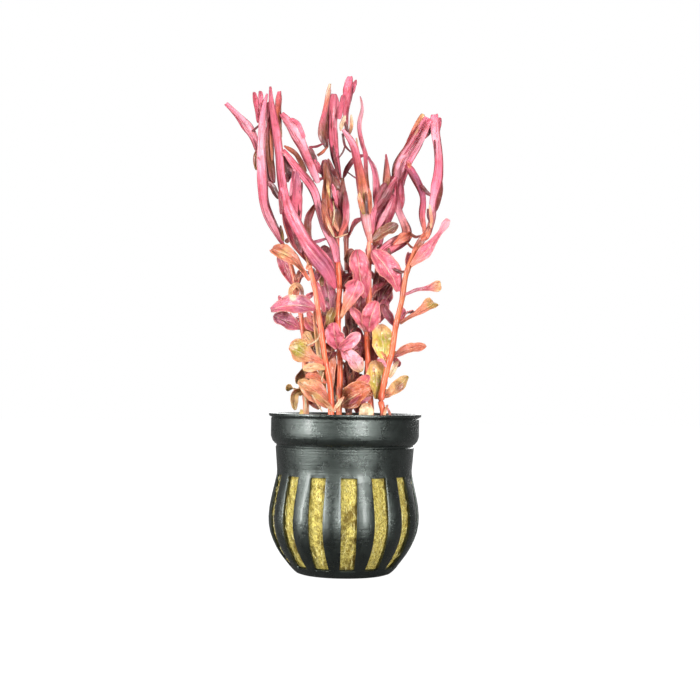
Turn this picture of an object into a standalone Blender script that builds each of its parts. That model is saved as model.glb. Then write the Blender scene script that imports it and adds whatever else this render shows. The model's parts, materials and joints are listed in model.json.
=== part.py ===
"""A potted Rotala: pink aquarium stem plant, rockwool plug and slotted net pot.

Metres, +Z up, origin at the centre of the pot's underside. The lists below are in millimetres.
The plant is drawn on an upright plane through the pot's axis, as it looks from VIEWPOINT, and
each point is then set back or forward along its line of sight by its depth (+ is away).
"""

import math

import bmesh
import bpy
from mathutils import Vector

MM = 0.001

# The pot
WALL = 1.0
SEGMENTS = 56
SLOTS = 14
SLOT_PHASE = -86.0  # angle of the slot nearest the front, from +X
SLOT_TOP = 32.0
SLOT_FOOT = 2.8
RIB_CROWN = 0.45  # how far a rib bulges at its middle
DRAINS = 8
DRAIN_INNER = 5.0
DRAIN_OUTER = 10.5
# Radius and height down the outside, from the lip to the foot
LIP = [(24.0, 52.7), (25.3, 52.7), (25.3, 51.8), (24.6, 51.6)]
BODY = [
    (24.6, 45.2),
    (24.1, 43.7),
    (23.1, 42.5),
    (22.4, 34.0),
    (22.5, SLOT_TOP),
    (23.7, 25.5),
    (24.6, 18.6),
    (24.1, 14.0),
    (22.6, 9.7),
    (20.4, 5.6),
    (18.0, SLOT_FOOT),
    (16.4, 1.0),
    (14.3, 0.0),
]

# The rockwool
WOOL_SEGMENTS = 24
WOOL_GAP = 0.4
WOOL_TOP = 44.5
STEM_SOCKET = 34.5  # height of the floor of each stem's hole
SOCKET_RADIUS = 1.5

# The plant
VIEWPOINT = Vector((1.3, -450.0, 60.5))
STEM_RADIUS = 1.05
STEM_FOOT = 35.0
STEM_COLLAR = 47.0  # below this a stem goes straight down
BLADE_THICK = 0.5

# Width of a leaf along its length, as a share of its widest place
STRAP = [(0.0, 0.38), (0.12, 0.8), (0.35, 1.0), (0.7, 0.95), (0.9, 0.62), (1.0, 0.22)]
BLUNT = [(0.0, 0.4), (0.25, 0.7), (0.55, 0.9), (0.85, 1.0), (1.0, 0.85)]
OVAL = [(0.0, 0.2), (0.2, 0.62), (0.5, 1.0), (0.75, 0.93), (0.92, 0.6), (1.0, 0.25)]
SPOON = [(0.0, 0.17), (0.3, 0.35), (0.55, 0.75), (0.8, 1.0), (0.93, 0.8), (1.0, 0.4)]
FAN = [(0.0, 0.25), (0.45, 0.3), (0.7, 0.6), (0.9, 1.0), (1.0, 0.8)]
WAISTED = [(0.0, 0.3), (0.35, 1.0), (0.6, 0.5), (0.75, 0.32), (0.9, 0.6), (1.0, 0.35)]

# Colours as seen, red, green and blue out of 255
HOT_PINK = (240, 130, 160)
PINK = (232, 135, 155)
PALE_PINK = (240, 175, 190)
DEEP_PINK = (205, 95, 115)
CRIMSON = (165, 45, 60)
MAROON = (105, 35, 45)
MAUVE = (170, 85, 115)
BROWN = (140, 75, 45)
SALMON = (235, 145, 120)
ORANGE = (222, 140, 85)
TAN = (215, 165, 110)
OLIVE = (190, 165, 70)
STEM_ORANGE = (238, 130, 95)
STEM_BROWN = (150, 70, 55)
POT_BLACK = (34, 38, 38)
WOOL_YELLOW = (205, 180, 90)

# Stems: name, colour, heights of the nodes as drawn, points up the stem
STEMS = [
    ("stem_left", STEM_ORANGE, [80, 95], [
        (-13.0, 52.7, 5.0), (-13.6, 67.0, 5.0), (-14.0, 77.0, 5.3), (-15.1, 85.0, 5.6),
        (-16.6, 91.0, 6.0), (-17.2, 96.0, 6.4), (-19.1, 103.0, 7.2), (-21.6, 109.0, 8.0)]),
    ("stem_front_left", STEM_ORANGE, [69, 80, 96], [
        (-4.7, 53.0, -8.0), (-5.2, 62.0, -8.0), (-7.0, 71.0, -7.5), (-8.4, 80.4, -7.0),
        (-9.5, 87.0, -6.5), (-10.6, 93.8, -6.0), (-12.0, 99.8, -5.5), (-12.8, 103.0, -5.0)]),
    ("stem_centre", STEM_ORANGE, [73, 84, 94, 111], [
        (-2.1, 54.0, -1.0), (-1.9, 64.0, -1.0), (-2.0, 72.0, -1.0), (-2.8, 84.0, -1.5),
        (-2.4, 94.0, -2.0), (-3.0, 102.0, -2.0), (-3.4, 109.0, -1.5), (-4.2, 117.0, -1.0),
        (-6.4, 125.0, -0.2)]),
    ("stem_right", STEM_ORANGE, [79, 91], [
        (8.6, 54.0, 0.0), (7.4, 69.0, 0.0), (7.0, 79.0, -0.5), (7.5, 90.6, -1.0),
        (7.4, 100.7, -1.0), (7.3, 110.0, -0.5)]),
    ("stem_far_right", SALMON, [58, 70.5, 82.5, 92.5, 108], [
        (12.6, 53.4, -6.0), (11.9, 58.0, -6.2), (14.1, 68.7, -6.8), (15.4, 73.4, -7.0),
        (16.6, 82.4, -7.6), (18.5, 90.8, -8.4), (19.8, 99.2, -9.0), (21.7, 104.9, -9.4),
        (23.7, 109.9, -9.8), (26.0, 113.2, -10.0)]),
    ("stem_back_right", STEM_BROWN, [70, 97, 110], [
        (5.6, 54.0, 9.0), (8.6, 80.0, 10.0), (9.8, 97.0, 11.0), (10.9, 110.8, 12.0),
        (12.2, 121.0, 12.0), (14.0, 128.5, 11.0)]),
    ("stem_back_centre", STEM_BROWN, [77, 97, 111], [
        (1.3, 54.0, 7.0), (0.6, 77.0, 8.0), (0.0, 99.0, 9.5), (-0.4, 111.0, 10.5),
        (-0.9, 124.0, 11.0), (-2.0, 131.5, 11.0)]),
]

# Leaves: name, colour, outline, width as seen, turn about the midrib, points from base to tip
LEAVES = [
    # The wet, clinging leaves of the left shoots
    ("strap_left_arrow", PINK, STRAP, 2.9, 20, [
        (-30.2, 139.8, 2.7), (-32.2, 145.5, 5.0), (-36.0, 150.8, 8.0), (-41.4, 156.2, 11.0)]),
    ("strap_left_outer", PALE_PINK, STRAP, 3.2, -25, [
        (-22.7, 111.4, 7.4), (-25.3, 116.4, 6.5), (-28.0, 121.9, 5.0), (-28.4, 130.5, 3.0),
        (-29.0, 140.6, 1.0), (-29.1, 150.7, 0.0), (-29.8, 160.3, 0.0)]),
    ("strap_left_tall", HOT_PINK, STRAP, 3.1, 15, [
        (-21.2, 123.5, -3.4), (-22.5, 130.6, -1.5), (-23.6, 139.0, 0.5), (-25.5, 149.0, 2.0),
        (-26.6, 162.3, 4.0)]),
    ("strap_left_tip", BROWN, STRAP, 2.2, -20, [
        (-23.1, 146.5, 3.4), (-23.9, 152.5, 5.0), (-23.3, 160.6, 7.0)]),
    ("strap_left_inner", MAUVE, STRAP, 3.2, 30, [
        (-17.2, 116.3, -6.6), (-17.4, 124.0, -4.2), (-17.6, 133.6, -3.0)]),
    ("ribbon_left_broad", HOT_PINK, STRAP, 4.4, -15, [
        (-4.1, 95.0, -3.6), (-7.0, 101.2, -7.0), (-13.1, 108.8, -9.5), (-17.3, 116.0, -8.5),
        (-20.0, 122.0, -6.5), (-21.6, 128.5, -4.2)]),
    ("ribbon_left_salmon", SALMON, STRAP, 3.7, 20, [
        (-14.1, 104.6, -4.4), (-17.2, 109.5, -3.0), (-19.9, 115.5, -1.0), (-21.9, 122.2, 1.0)]),
    ("strap_middle_left", PINK, STRAP, 3.1, 20, [
        (-11.2, 132.3, 0.5), (-13.5, 137.4, 1.5), (-15.9, 143.1, 2.0), (-19.0, 148.4, 2.5),
        (-22.9, 153.0, 2.8)]),
    ("strap_cross_left", PINK, STRAP, 3.0, -15, [
        (-4.5, 106.6, -3.0), (-5.2, 110.5, -2.5), (-8.3, 115.9, -1.4), (-10.2, 124.0, -0.6),
        (-13.2, 130.5, -0.6), (-17.6, 135.7, -0.4), (-21.7, 140.6, -1.4)]),
    # The shoots above the middle of the pot
    ("strap_centre", HOT_PINK, STRAP, 3.1, 30, [
        (-3.1, 132.9, 10.0), (-4.6, 140.0, 7.0), (-5.6, 149.3, 4.0), (-5.2, 160.0, 2.0)]),
    ("strap_centre_tan", TAN, STRAP, 2.3, -30, [
        (-7.6, 143.2, 4.6), (-8.7, 147.0, 3.4), (-7.9, 153.5, 1.6), (-6.3, 163.4, 0.0)]),
    ("strap_top_notched", HOT_PINK, BLUNT, 3.3, -20, [
        (-0.7, 149.3, 4.6), (-1.0, 154.0, 5.0), (-0.4, 160.0, 6.0), (0.3, 165.9, 8.0)]),
    ("strap_thin_pale", PALE_PINK, STRAP, 1.8, 35, [
        (5.2, 141.0, 6.6), (3.6, 146.1, 8.0), (3.5, 151.1, 9.0), (4.4, 155.2, 10.0),
        (3.7, 159.3, 11.0)]),
    ("strap_centre_right", PINK, STRAP, 2.9, 20, [
        (7.1, 111.9, -0.5), (6.3, 116.0, -1.0), (5.6, 121.5, -1.5), (5.2, 126.0, -1.5),
        (4.3, 131.0, -0.8), (2.9, 137.6, 0.5), (1.4, 142.9, 2.0), (-2.0, 147.9, 3.6)]),
    ("strap_mauve", MAUVE, STRAP, 2.2, -35, [
        (10.8, 118.2, 11.0), (9.9, 123.5, 9.5), (9.6, 129.3, 8.5), (8.7, 135.0, 7.6),
        (6.5, 139.0, 7.0)]),
    ("strap_short_right", SALMON, STRAP, 2.4, 30, [
        (13.4, 125.0, 9.8), (13.1, 131.7, 8.6), (12.6, 139.8, 7.0)]),
    ("strap_bridge", MAROON, STRAP, 1.8, 0, [
        (-1.0, 133.0, 10.0), (-0.1, 135.2, 9.0), (2.4, 138.2, 7.0), (5.6, 139.4, 5.4)]),
    ("strap_right_inner", PINK, STRAP, 5.0, 20, [
        (16.6, 128.6, 7.6), (17.8, 135.0, 6.0), (20.2, 140.0, 4.6), (23.0, 145.2, 3.0),
        (26.4, 152.4, 1.0)]),
    ("strap_right_outer", HOT_PINK, STRAP, 3.1, -20, [
        (27.6, 114.9, -9.6), (28.7, 119.0, -9.2), (28.5, 123.0, -8.0), (29.6, 129.0, -6.0),
        (30.4, 135.5, -4.0), (30.2, 141.0, -2.0), (29.3, 147.0, -0.4), (28.9, 153.4, 1.0)]),
    ("strap_right_cross", MAUVE, STRAP, 2.6, 20, [
        (25.4, 115.4, -10.2), (25.1, 119.5, -9.6), (25.7, 124.0, -8.0), (23.4, 129.0, -4.0),
        (19.6, 136.2, 2.2)]),
    ("strap_crimson", CRIMSON, STRAP, 2.4, -25, [
        (8.6, 119.5, 3.0), (12.4, 124.9, 3.6), (16.3, 132.0, 4.6)]),
    ("blade_right_folded", PINK, OVAL, 4.0, -20, [
        (8.8, 103.2, -0.2), (13.0, 107.4, 2.6), (16.5, 109.8, 3.2), (20.0, 112.4, 3.0),
        (19.0, 116.5, 4.0), (16.9, 121.4, 5.0), (16.2, 127.2, 6.0)]),
    ("cup_leaf_left", ORANGE, STRAP, 2.4, -35, [
        (-4.9, 112.2, -3.3), (-6.6, 118.0, -4.6), (-8.4, 123.3, -5.8)]),
    ("cup_leaf_right", CRIMSON, STRAP, 2.2, 35, [
        (-2.5, 112.4, -2.8), (-0.9, 117.4, -3.2), (-0.8, 127.3, -2.8)]),
    ("leaf_dry_tan", BROWN, STRAP, 3.0, 0, [
        (-5.4, 115.2, -2.7), (-6.7, 120.0, -2.7), (-7.3, 126.0, -2.2), (-7.0, 131.0, -1.0),
        (-7.9, 136.9, 0.6)]),
    ("leaf_maroon_right", MAROON, OVAL, 4.2, -20, [
        (9.0, 110.9, 0.6), (12.6, 113.5, 1.0), (16.9, 116.1, 1.5)]),
    ("leaf_crumpled", DEEP_PINK, OVAL, 5.2, 30, [
        (9.2, 109.5, 9.6), (10.4, 115.0, 8.2), (11.5, 120.5, 7.6), (12.3, 126.2, 7.2)]),
    # The broad lower leaves
    ("leaf_orange_left", ORANGE, SPOON, 5.4, 25, [
        (-12.9, 97.4, -5.2), (-15.3, 100.6, -2.2), (-19.5, 104.9, 1.5), (-25.3, 107.5, 5.0)]),
    ("leaf_pink_left", PINK, OVAL, 4.2, -20, [
        (-18.3, 96.2, 8.4), (-19.6, 99.5, 10.0), (-21.2, 103.0, 11.6), (-22.7, 106.2, 13.2)]),
    ("leaf_broad_left_upper", DEEP_PINK, OVAL, 5.8, 25, [
        (-11.1, 87.7, -7.2), (-16.0, 88.7, -9.0), (-21.5, 88.0, -10.0), (-25.3, 86.8, -9.6)]),
    ("leaf_broad_left_lower", MAUVE, OVAL, 4.8, 20, [
        (-16.0, 81.2, 5.2), (-18.7, 82.5, 4.6), (-24.4, 85.0, 3.0)]),
    ("leaf_middle_pink", PINK, SPOON, 5.8, -20, [
        (-1.5, 85.2, -3.1), (0.2, 88.9, -5.0), (2.4, 93.0, -7.0), (3.9, 97.2, -8.6)]),
    ("leaf_oval_centre", HOT_PINK, OVAL, 6.2, 20, [
        (6.3, 92.2, -2.6), (5.4, 97.5, -4.0), (4.4, 102.0, -4.6), (3.6, 107.2, -4.2)]),
    ("leaf_long_right", SALMON, OVAL, 6.8, 20, [
        (16.9, 94.3, -8.4), (14.6, 99.5, -6.5), (11.5, 103.5, -5.8), (8.4, 107.2, -6.0)]),
    ("leaf_bright_pink", HOT_PINK, OVAL, 5.8, -15, [
        (7.5, 80.8, -2.6), (8.3, 85.0, -6.0), (10.2, 90.3, -7.5)]),
    ("leaf_purple_crinkled", MAUVE, OVAL, 5.4, -25, [
        (10.4, 85.0, 10.8), (12.0, 89.5, 13.0), (13.9, 95.7, 15.5)]),
    ("leaf_yellow_upper", OLIVE, OVAL, 6.6, 0, [
        (12.7, 71.0, -5.2), (12.3, 76.0, -4.2), (11.3, 82.6, -3.4)]),
    ("leaf_yellow_lower", OLIVE, OVAL, 6.4, 15, [
        (10.5, 58.5, -4.7), (10.4, 64.0, -4.2), (9.5, 70.5, -3.0)]),
    ("leaf_low_pink", HOT_PINK, OVAL, 5.8, -15, [
        (-2.9, 74.8, -2.7), (-3.7, 78.5, -5.0), (-4.2, 83.0, -6.5)]),
    ("leaf_low_pointed", SALMON, OVAL, 4.5, -20, [
        (-0.9, 73.6, -2.6), (1.8, 71.2, -5.5), (5.3, 66.6, -8.5)]),
    ("leaf_spoon_left", ORANGE, SPOON, 6.8, 25, [
        (-8.2, 69.7, -8.4), (-13.0, 71.9, -10.5), (-19.0, 74.6, -12.5)]),
    ("leaf_low_left", TAN, OVAL, 4.2, 25, [
        (-6.3, 55.3, -9.0), (-10.5, 59.0, -11.5), (-15.9, 63.2, -14.0)]),
    ("leaf_low_right", SALMON, OVAL, 6.6, -20, [
        (-0.8, 55.8, -3.0), (3.0, 58.5, -7.5), (8.4, 61.6, -12.0)]),
    ("leaf_right_high", PINK, WAISTED, 4.5, -20, [
        (22.0, 102.8, -10.8), (25.5, 106.3, -12.0), (28.3, 109.5, -13.0), (31.4, 114.1, -14.0),
        (33.9, 118.1, -15.0)]),
    ("leaf_right_fan", MAUVE, FAN, 3.8, -15, [
        (20.3, 92.9, -9.4), (23.5, 94.3, -11.0), (27.0, 94.8, -13.0), (31.6, 95.8, -15.5)]),
    ("leaf_right_orange", ORANGE, FAN, 5.0, -25, [
        (18.3, 83.3, -6.9), (21.5, 85.2, -4.5), (25.0, 87.3, -2.0), (29.4, 90.1, 1.0)]),
    ("leaf_right_salmon", SALMON, OVAL, 3.4, -25, [
        (16.5, 71.9, -6.6), (20.0, 74.0, -3.5), (26.7, 75.7, 1.0)]),
    ("leaf_right_low", TAN, OVAL, 3.9, -25, [
        (13.5, 58.8, -7.0), (16.5, 61.0, -9.5), (21.0, 65.2, -12.5)]),
    # Leaves on the far side
    ("leaf_back_upper", MAROON, OVAL, 5.2, 20, [
        (-1.5, 98.2, 10.0), (-4.5, 102.0, 12.5), (-7.6, 108.2, 15.0)]),
    ("leaf_back_middle", MAUVE, OVAL, 4.8, 25, [
        (-1.2, 86.2, 9.4), (-4.2, 89.5, 12.5), (-7.0, 94.0, 17.0)]),
    ("leaf_back_lower", MAROON, OVAL, 5.4, 20, [
        (5.8, 70.8, 10.4), (4.2, 74.5, 13.5), (2.4, 79.0, 17.5)]),
]


def linear(colour):
    """A colour as seen, out of 255, as the shader's own linear values."""
    return [((c / 255 + 0.055) / 1.055) ** 2.4 for c in colour] + [1.0]


def finish(obj, colour, roughness):
    """Give a piece its own material."""
    material = bpy.data.materials.new(obj.name)
    material.use_nodes = True
    shader = material.node_tree.nodes["Principled BSDF"]
    shader.inputs["Base Color"].default_value = linear(colour)
    shader.inputs["Roughness"].default_value = roughness
    obj.data.materials.append(material)


def new_object(name, data, collection):
    obj = bpy.data.objects.new(name, data)
    collection.objects.link(obj)
    return obj


def guide(name, data):
    """An object that only shapes others, kept in the guides' collection."""
    obj = new_object(name, data, guides)
    obj.hide_render = True
    obj.display_type = "WIRE"
    return obj


def turned(name, profile, steps, start):
    """The mesh that a profile (radius, height) makes when it is turned about the axis."""
    mesh = bpy.data.meshes.new(name)
    a = math.radians(start)
    points = [(r * math.cos(a) * MM, r * math.sin(a) * MM, z * MM) for r, z in profile]
    mesh.from_pydata(points, [(i, i + 1) for i in range(len(points) - 1)], [])
    obj = guide(name, mesh)
    screw = obj.modifiers.new("Turn", "SCREW")
    screw.steps = steps
    screw.render_steps = steps
    screw.use_merge_vertices = True
    screw.merge_threshold = 0.00001
    bpy.context.view_layer.update()
    evaluated = obj.evaluated_get(bpy.context.evaluated_depsgraph_get())
    result = bpy.data.meshes.new_from_object(evaluated)
    bpy.data.objects.remove(obj)
    return result


def inset(profile, distance):
    """A profile moved inwards by a distance, square to its own slope at each point."""
    moved = []
    for i, (r, z) in enumerate(profile):
        before = Vector(profile[max(i - 1, 0)])
        after = Vector(profile[min(i + 1, len(profile) - 1)])
        run = (after - before).normalized()
        moved.append((r + run.y * distance, z - run.x * distance))
    return moved


def angle_in_period(point, count, phase):
    """Angle of a point from the middle of its nearest repeat, in degrees."""
    period = 360 / count
    angle = math.degrees(math.atan2(point.y, point.x)) - phase
    return (angle + period / 2) % period - period / 2


def open_holes(bm, inside):
    """Cut the faces that inside() picks from both skins and wall up the holes' edges."""
    doomed = [f for f in bm.faces if inside(f)]
    bmesh.ops.delete(bm, geom=doomed, context="FACES")
    return [e for e in bm.edges if e.is_boundary]


def bridge_each(bm, edges, count, phase):
    """Join the outer and inner rim of each repeat of a hole."""
    groups = {}
    for e in edges:
        middle = (e.verts[0].co + e.verts[1].co) / 2
        turn = math.degrees(math.atan2(middle.y, middle.x)) - phase
        groups.setdefault(round(turn / (360 / count)) % count, []).append(e)
    for group in groups.values():
        bmesh.ops.bridge_loops(bm, edges=group)


def make_pot():
    base_inner = WALL
    inner = [(r, z) for r, z in inset(BODY, WALL)][:-1]
    floor_edge = (BODY[-1][0] - 0.9, base_inner)
    rings = [DRAIN_OUTER, DRAIN_INNER, 0.0]
    outside = LIP + BODY + [(r, 0.0) for r in rings]
    inside = [(r, base_inner) for r in reversed(rings)] + [floor_edge] + inner[::-1]
    inside[-1] = (BODY[0][0] - WALL, BODY[0][1])
    mesh = turned("pot_form", inside + outside, SEGMENTS, SLOT_PHASE)
    bm = bmesh.new()
    bm.from_mesh(mesh)
    bmesh.ops.remove_doubles(bm, verts=bm.verts, dist=0.01 * MM)

    half_slot = 360 / SLOTS / 4
    inner_foot = inner[-2][1]
    inner_top = inner[4][1]

    def in_slot(face):
        middle = face.calc_center_median()
        outward = face.normal.dot(Vector((middle.x, middle.y, 0)).normalized()) > 0
        low, high = (SLOT_FOOT, SLOT_TOP) if outward else (inner_foot, inner_top)
        if math.hypot(middle.x, middle.y) < BODY[-1][0] * MM:
            return False
        height = middle.z / MM
        return low < height < high and abs(angle_in_period(middle, SLOTS, SLOT_PHASE)) < half_slot

    def in_drain(face):
        middle = face.calc_center_median()
        radius = math.hypot(middle.x, middle.y) / MM
        turn = abs(angle_in_period(middle, DRAINS, SLOT_PHASE + 360 / SEGMENTS / 2))
        return DRAIN_INNER < radius < DRAIN_OUTER and middle.z / MM < 2 and turn < 1.6 * 360 / SEGMENTS

    bridge_each(bm, open_holes(bm, in_slot), SLOTS, SLOT_PHASE)
    bridge_each(bm, open_holes(bm, in_drain), DRAINS, SLOT_PHASE + 360 / SEGMENTS / 2)
    for v in bm.verts:
        height = v.co.z / MM
        radius = math.hypot(v.co.x, v.co.y)
        mid_rib = abs(angle_in_period(v.co, SLOTS, SLOT_PHASE + 180 / SLOTS)) < 1
        if not mid_rib or not SLOT_FOOT < height < SLOT_TOP:
            continue
        rise = math.sin(math.pi * (height - SLOT_FOOT) / (SLOT_TOP - SLOT_FOOT))
        if v.normal.dot(Vector((v.co.x, v.co.y, 0))) > 0:
            v.co.xy *= 1 + RIB_CROWN * rise * MM / radius
    bmesh.ops.recalc_face_normals(bm, faces=bm.faces)
    bm.to_mesh(mesh)
    bm.free()
    pot = new_object("pot", mesh, plant)
    finish(pot, POT_BLACK, 0.35)
    mesh.shade_smooth()
    mesh.set_sharp_from_angle(angle=math.radians(35))


def make_rockwool(feet):
    """The plug of rockwool, with a blind hole for each stem's foot (across, away)."""
    sides = inset(BODY, WALL + WOOL_GAP)
    sides = [(r, z) for r, z in sides[:-1] if z < WOOL_TOP - 1]
    top = [(0.0, WOOL_TOP + 0.8), (14.0, WOOL_TOP + 0.4), (sides[0][0] - 1.0, WOOL_TOP)]
    foot = WALL + WOOL_GAP
    profile = top + sides + [(BODY[-1][0] - 0.9, foot), (0.0, foot)]
    mesh = turned("rockwool_form", profile, WOOL_SEGMENTS, SLOT_PHASE)
    wool = new_object("rockwool", mesh, plant)
    finish(wool, WOOL_YELLOW, 0.95)
    height = WOOL_TOP + 5 - STEM_SOCKET
    for i, (x, y) in enumerate(feet):
        bm = bmesh.new()
        bmesh.ops.create_cone(
            bm,
            cap_ends=True,
            segments=8,
            radius1=SOCKET_RADIUS * MM,
            radius2=SOCKET_RADIUS * MM,
            depth=height * MM,
        )
        hole = bpy.data.meshes.new("socket")
        bm.to_mesh(hole)
        bm.free()
        cutter = guide("socket_%d" % (i + 1), hole)
        cutter.location = (x * MM, y * MM, (STEM_SOCKET + height / 2) * MM)
        cut = wool.modifiers.new("Socket %d" % (i + 1), "BOOLEAN")
        cut.operation = "DIFFERENCE"
        cut.object = cutter


def placed(point):
    """A drawn point (across, height, depth) at its real place, in millimetres."""
    across, height, depth = point
    near = 1 + depth / -VIEWPOINT.y
    x = VIEWPOINT.x + (across - VIEWPOINT.x) * near
    z = VIEWPOINT.z + (height - VIEWPOINT.z) * near
    return Vector((x, depth, z))


def smooth_line(points, count):
    """Points evenly spaced along a smooth curve through the given ones."""
    ends = [2 * points[0] - points[1]] + points + [2 * points[-1] - points[-2]]
    fine = []
    steps = 12
    for a, b, c, d in zip(ends, ends[1:], ends[2:], ends[3:]):
        for k in range(steps):
            t = k / steps
            bend = 2 * a - 5 * b + 4 * c - d
            twist = -a + 3 * b - 3 * c + d
            fine.append((2 * b + (c - a) * t + bend * t**2 + twist * t**3) / 2)
    fine.append(points[-1])
    reach = [0.0]
    for p, q in zip(fine, fine[1:]):
        reach.append(reach[-1] + (q - p).length)
    line = []
    for i in range(count):
        target = reach[-1] * i / (count - 1)
        k = next((k for k in range(1, len(reach)) if reach[k] >= target), len(reach) - 1)
        share = (target - reach[k - 1]) / (reach[k] - reach[k - 1])
        line.append(fine[k - 1].lerp(fine[k], share))
    return line


def share_at(outline, t):
    """The width share of an outline at t along the leaf."""
    for (t0, w0), (t1, w1) in zip(outline, outline[1:]):
        if t <= t1:
            return w0 + (w1 - w0) * (t - t0) / (t1 - t0)
    return outline[-1][1]


def swept(name, line, radii, turns, width, thick, resolution):
    """A swept curve. It is drawn lying on its back, so that its up is the plant's front."""
    curve = bpy.data.curves.new(name, "CURVE")
    curve.dimensions = "3D"
    curve.twist_mode = "Z_UP"
    curve.resolution_u = 1
    curve.render_resolution_u = 0
    curve.extrude = (width - thick) / 2 * MM
    curve.bevel_depth = thick / 2 * MM
    curve.bevel_resolution = resolution
    curve.use_fill_caps = True
    spline = curve.splines.new("POLY")
    spline.points.add(len(line) - 1)
    for point, p, radius, turn in zip(spline.points, line, radii, turns):
        point.co = (p.x * MM, p.z * MM, -p.y * MM, 1)
        point.radius = radius
        point.tilt = math.radians(90 + turn)
    obj = new_object(name, curve, plant)
    obj.rotation_euler = (math.radians(90), 0, 0)
    return obj


def make_stem(name, colour, nodes, points):
    route = [placed(p) for p in points]
    foot = route[0]
    below = [Vector((foot.x, foot.y, STEM_FOOT)), Vector((foot.x, foot.y, STEM_COLLAR))]
    line = below[:1] + smooth_line([below[1]] + route, len(points) + 3)
    rings = sorted(placed((0, z, foot.y)).z for z in nodes)
    radii = []
    for i, p in enumerate(line):
        near_node = any(abs(p.z - z) < 3.5 for z in rings)
        taper = 1.0 - 0.25 * i / (len(line) - 1)
        radii.append(taper * (1.1 if near_node and i > 1 else 1.0))
    diameter = 2 * STEM_RADIUS
    stem = swept(name, line, radii, [0] * len(line), diameter, diameter, 2)
    finish(stem, colour, 0.4)
    return foot.x, foot.y


def make_leaf(name, colour, outline, width, turn, points):
    route = [placed(p) for p in points]
    count = max(6, len(points) + 1)
    line = smooth_line(route, count)
    shares = [share_at(outline, i / (count - 1)) for i in range(count)]
    true_width = width / math.cos(math.radians(turn))
    leaf = swept(name, line, shares, [turn] * count, true_width, BLADE_THICK, 0)
    finish(leaf, colour, 0.45)


for old in list(bpy.data.objects):
    bpy.data.objects.remove(old)
plant = bpy.data.collections.new("rotala")
guides = bpy.data.collections.new("guides")
bpy.context.scene.collection.children.link(plant)
bpy.context.scene.collection.children.link(guides)

make_pot()
stem_feet = [make_stem(*stem) for stem in STEMS]
make_rockwool(stem_feet)
for leaf in LEAVES:
    make_leaf(*leaf)
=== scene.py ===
"""The looks of a potted Rotala: a pink aquarium stem plant, its rockwool and its net pot.

Metres, +Z up, origin at the centre of the pot's underside. The lists below are in millimetres.
The plant is drawn on an upright plane through the pot's axis, as the camera sees it, and each
point (across, height, depth) is then set back or forward along its line of sight by its depth
(+ is away).
"""

import itertools
import json
import math
import random

import bpy
from mathutils import Matrix, Vector


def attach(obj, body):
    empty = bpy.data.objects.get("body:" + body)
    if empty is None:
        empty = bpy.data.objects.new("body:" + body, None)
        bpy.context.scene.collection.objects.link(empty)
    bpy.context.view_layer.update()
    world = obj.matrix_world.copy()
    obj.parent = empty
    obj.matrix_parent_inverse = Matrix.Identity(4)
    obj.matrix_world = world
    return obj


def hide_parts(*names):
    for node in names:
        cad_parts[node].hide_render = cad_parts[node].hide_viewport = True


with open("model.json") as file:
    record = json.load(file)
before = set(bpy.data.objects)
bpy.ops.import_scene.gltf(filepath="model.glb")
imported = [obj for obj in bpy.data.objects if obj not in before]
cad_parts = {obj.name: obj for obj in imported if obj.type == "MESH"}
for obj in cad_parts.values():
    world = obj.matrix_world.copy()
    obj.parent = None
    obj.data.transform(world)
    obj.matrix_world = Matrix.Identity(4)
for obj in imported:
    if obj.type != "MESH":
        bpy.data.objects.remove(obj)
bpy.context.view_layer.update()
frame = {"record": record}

MM = 0.001
EYE = Vector((1.3, -450, 60.5))
PITCH = 2.21  # how far the camera looks up, in degrees
ROLL = 0.7
LENS = 69.4  # focal length
BACKDROP_WHITE = 1.0
ROOM_LIGHT = 0.2

# The pot: radius and height down the outside, from the lip to the foot
SLOT_TOP = 32.5
SLOT_FOOT = 2.6
LIP = [(25.3, 52.7), (25.3, 51.9), (25.0, 51.65), (24.6, 51.55), (24.35, 51.3), (24.6, 51.0)]
BODY = [
    (24.6, 45.2), (24.1, 43.7), (23.3, 42.75), (22.75, 42.45), (22.7, 41.95), (23.0, 41.6),
    (22.4, 34.0), (22.45, SLOT_TOP), (23.0, 29.4), (23.7, 25.7), (24.3, 22.0), (24.55, 18.6),
    (24.45, 16.2), (24.0, 13.6), (23.2, 11.2), (22.1, 8.7), (20.8, 6.4), (19.2, 4.2),
    (18.0, SLOT_FOOT), (16.6, 1.1), (15.7, 0.35), (14.6, 0.0),
]
WALL = 1.0
POT_SEGMENTS = 224
SLOTS = 14
SLOT_WIDTH = 5.2
SLOT_PHASE = -86.0  # bearing of a slot's middle, in degrees
SLOT_FADE = 2.4  # how far past a slot's ends the wall's points still turn towards its sides
RIB_CROWN = 0.45  # how far the ribs bulge out between the slots
SLOT_DIP = -0.35  # and how far the wall sinks in just above each slot
DRAINS = 8
DRAIN_INNER = 5.0
DRAIN_OUTER = 10.5
DRAIN_SPREAD = 9  # half of a drain slot's angle, in degrees
DRAIN_PHASE = 2.8  # how far a drain slot is turned from the one in the wall, in degrees
WOOL_TOP = 44.5
WOOL_SEGMENTS = 160
FIBRES = 640
FIBRE_RADIUS = 0.055

STEM_RADIUS = 1.05
STEM_FOOT = 35.0
STEM_COLLAR = 47.0
STEM_STATIONS = 70
BROAD = 3.6  # leaves wider than this are bent from the broad blade
NARROW = 1.6  # and the others wider than this from the narrow one
BLADE = 0.26  # how thick a leaf is
STATIONS = 30  # points along the curve that bends a leaf
FOLD_STATIONS = 12
FOLD_ASIDE = 0.36  # how far a fold lies from its strap's midrib, as a share of its width
FOLD_WIDTH = 0.45
FOLD_BEHIND = 0.5
CRINKLE = 0.34  # how deep the crinkles are, as a share of the leaf's width
CRINKLED_WIDTH = 2.6  # a leaf drawn by its widths is crinkled no deeper than one this wide
TILT_SWAY = 11  # how far a leaf rocks about its midrib, in degrees
SPREAD = 0.013  # how far apart the flat blades lie in the relief patterns, in metres
BASE_REACH = 0.9

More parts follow.
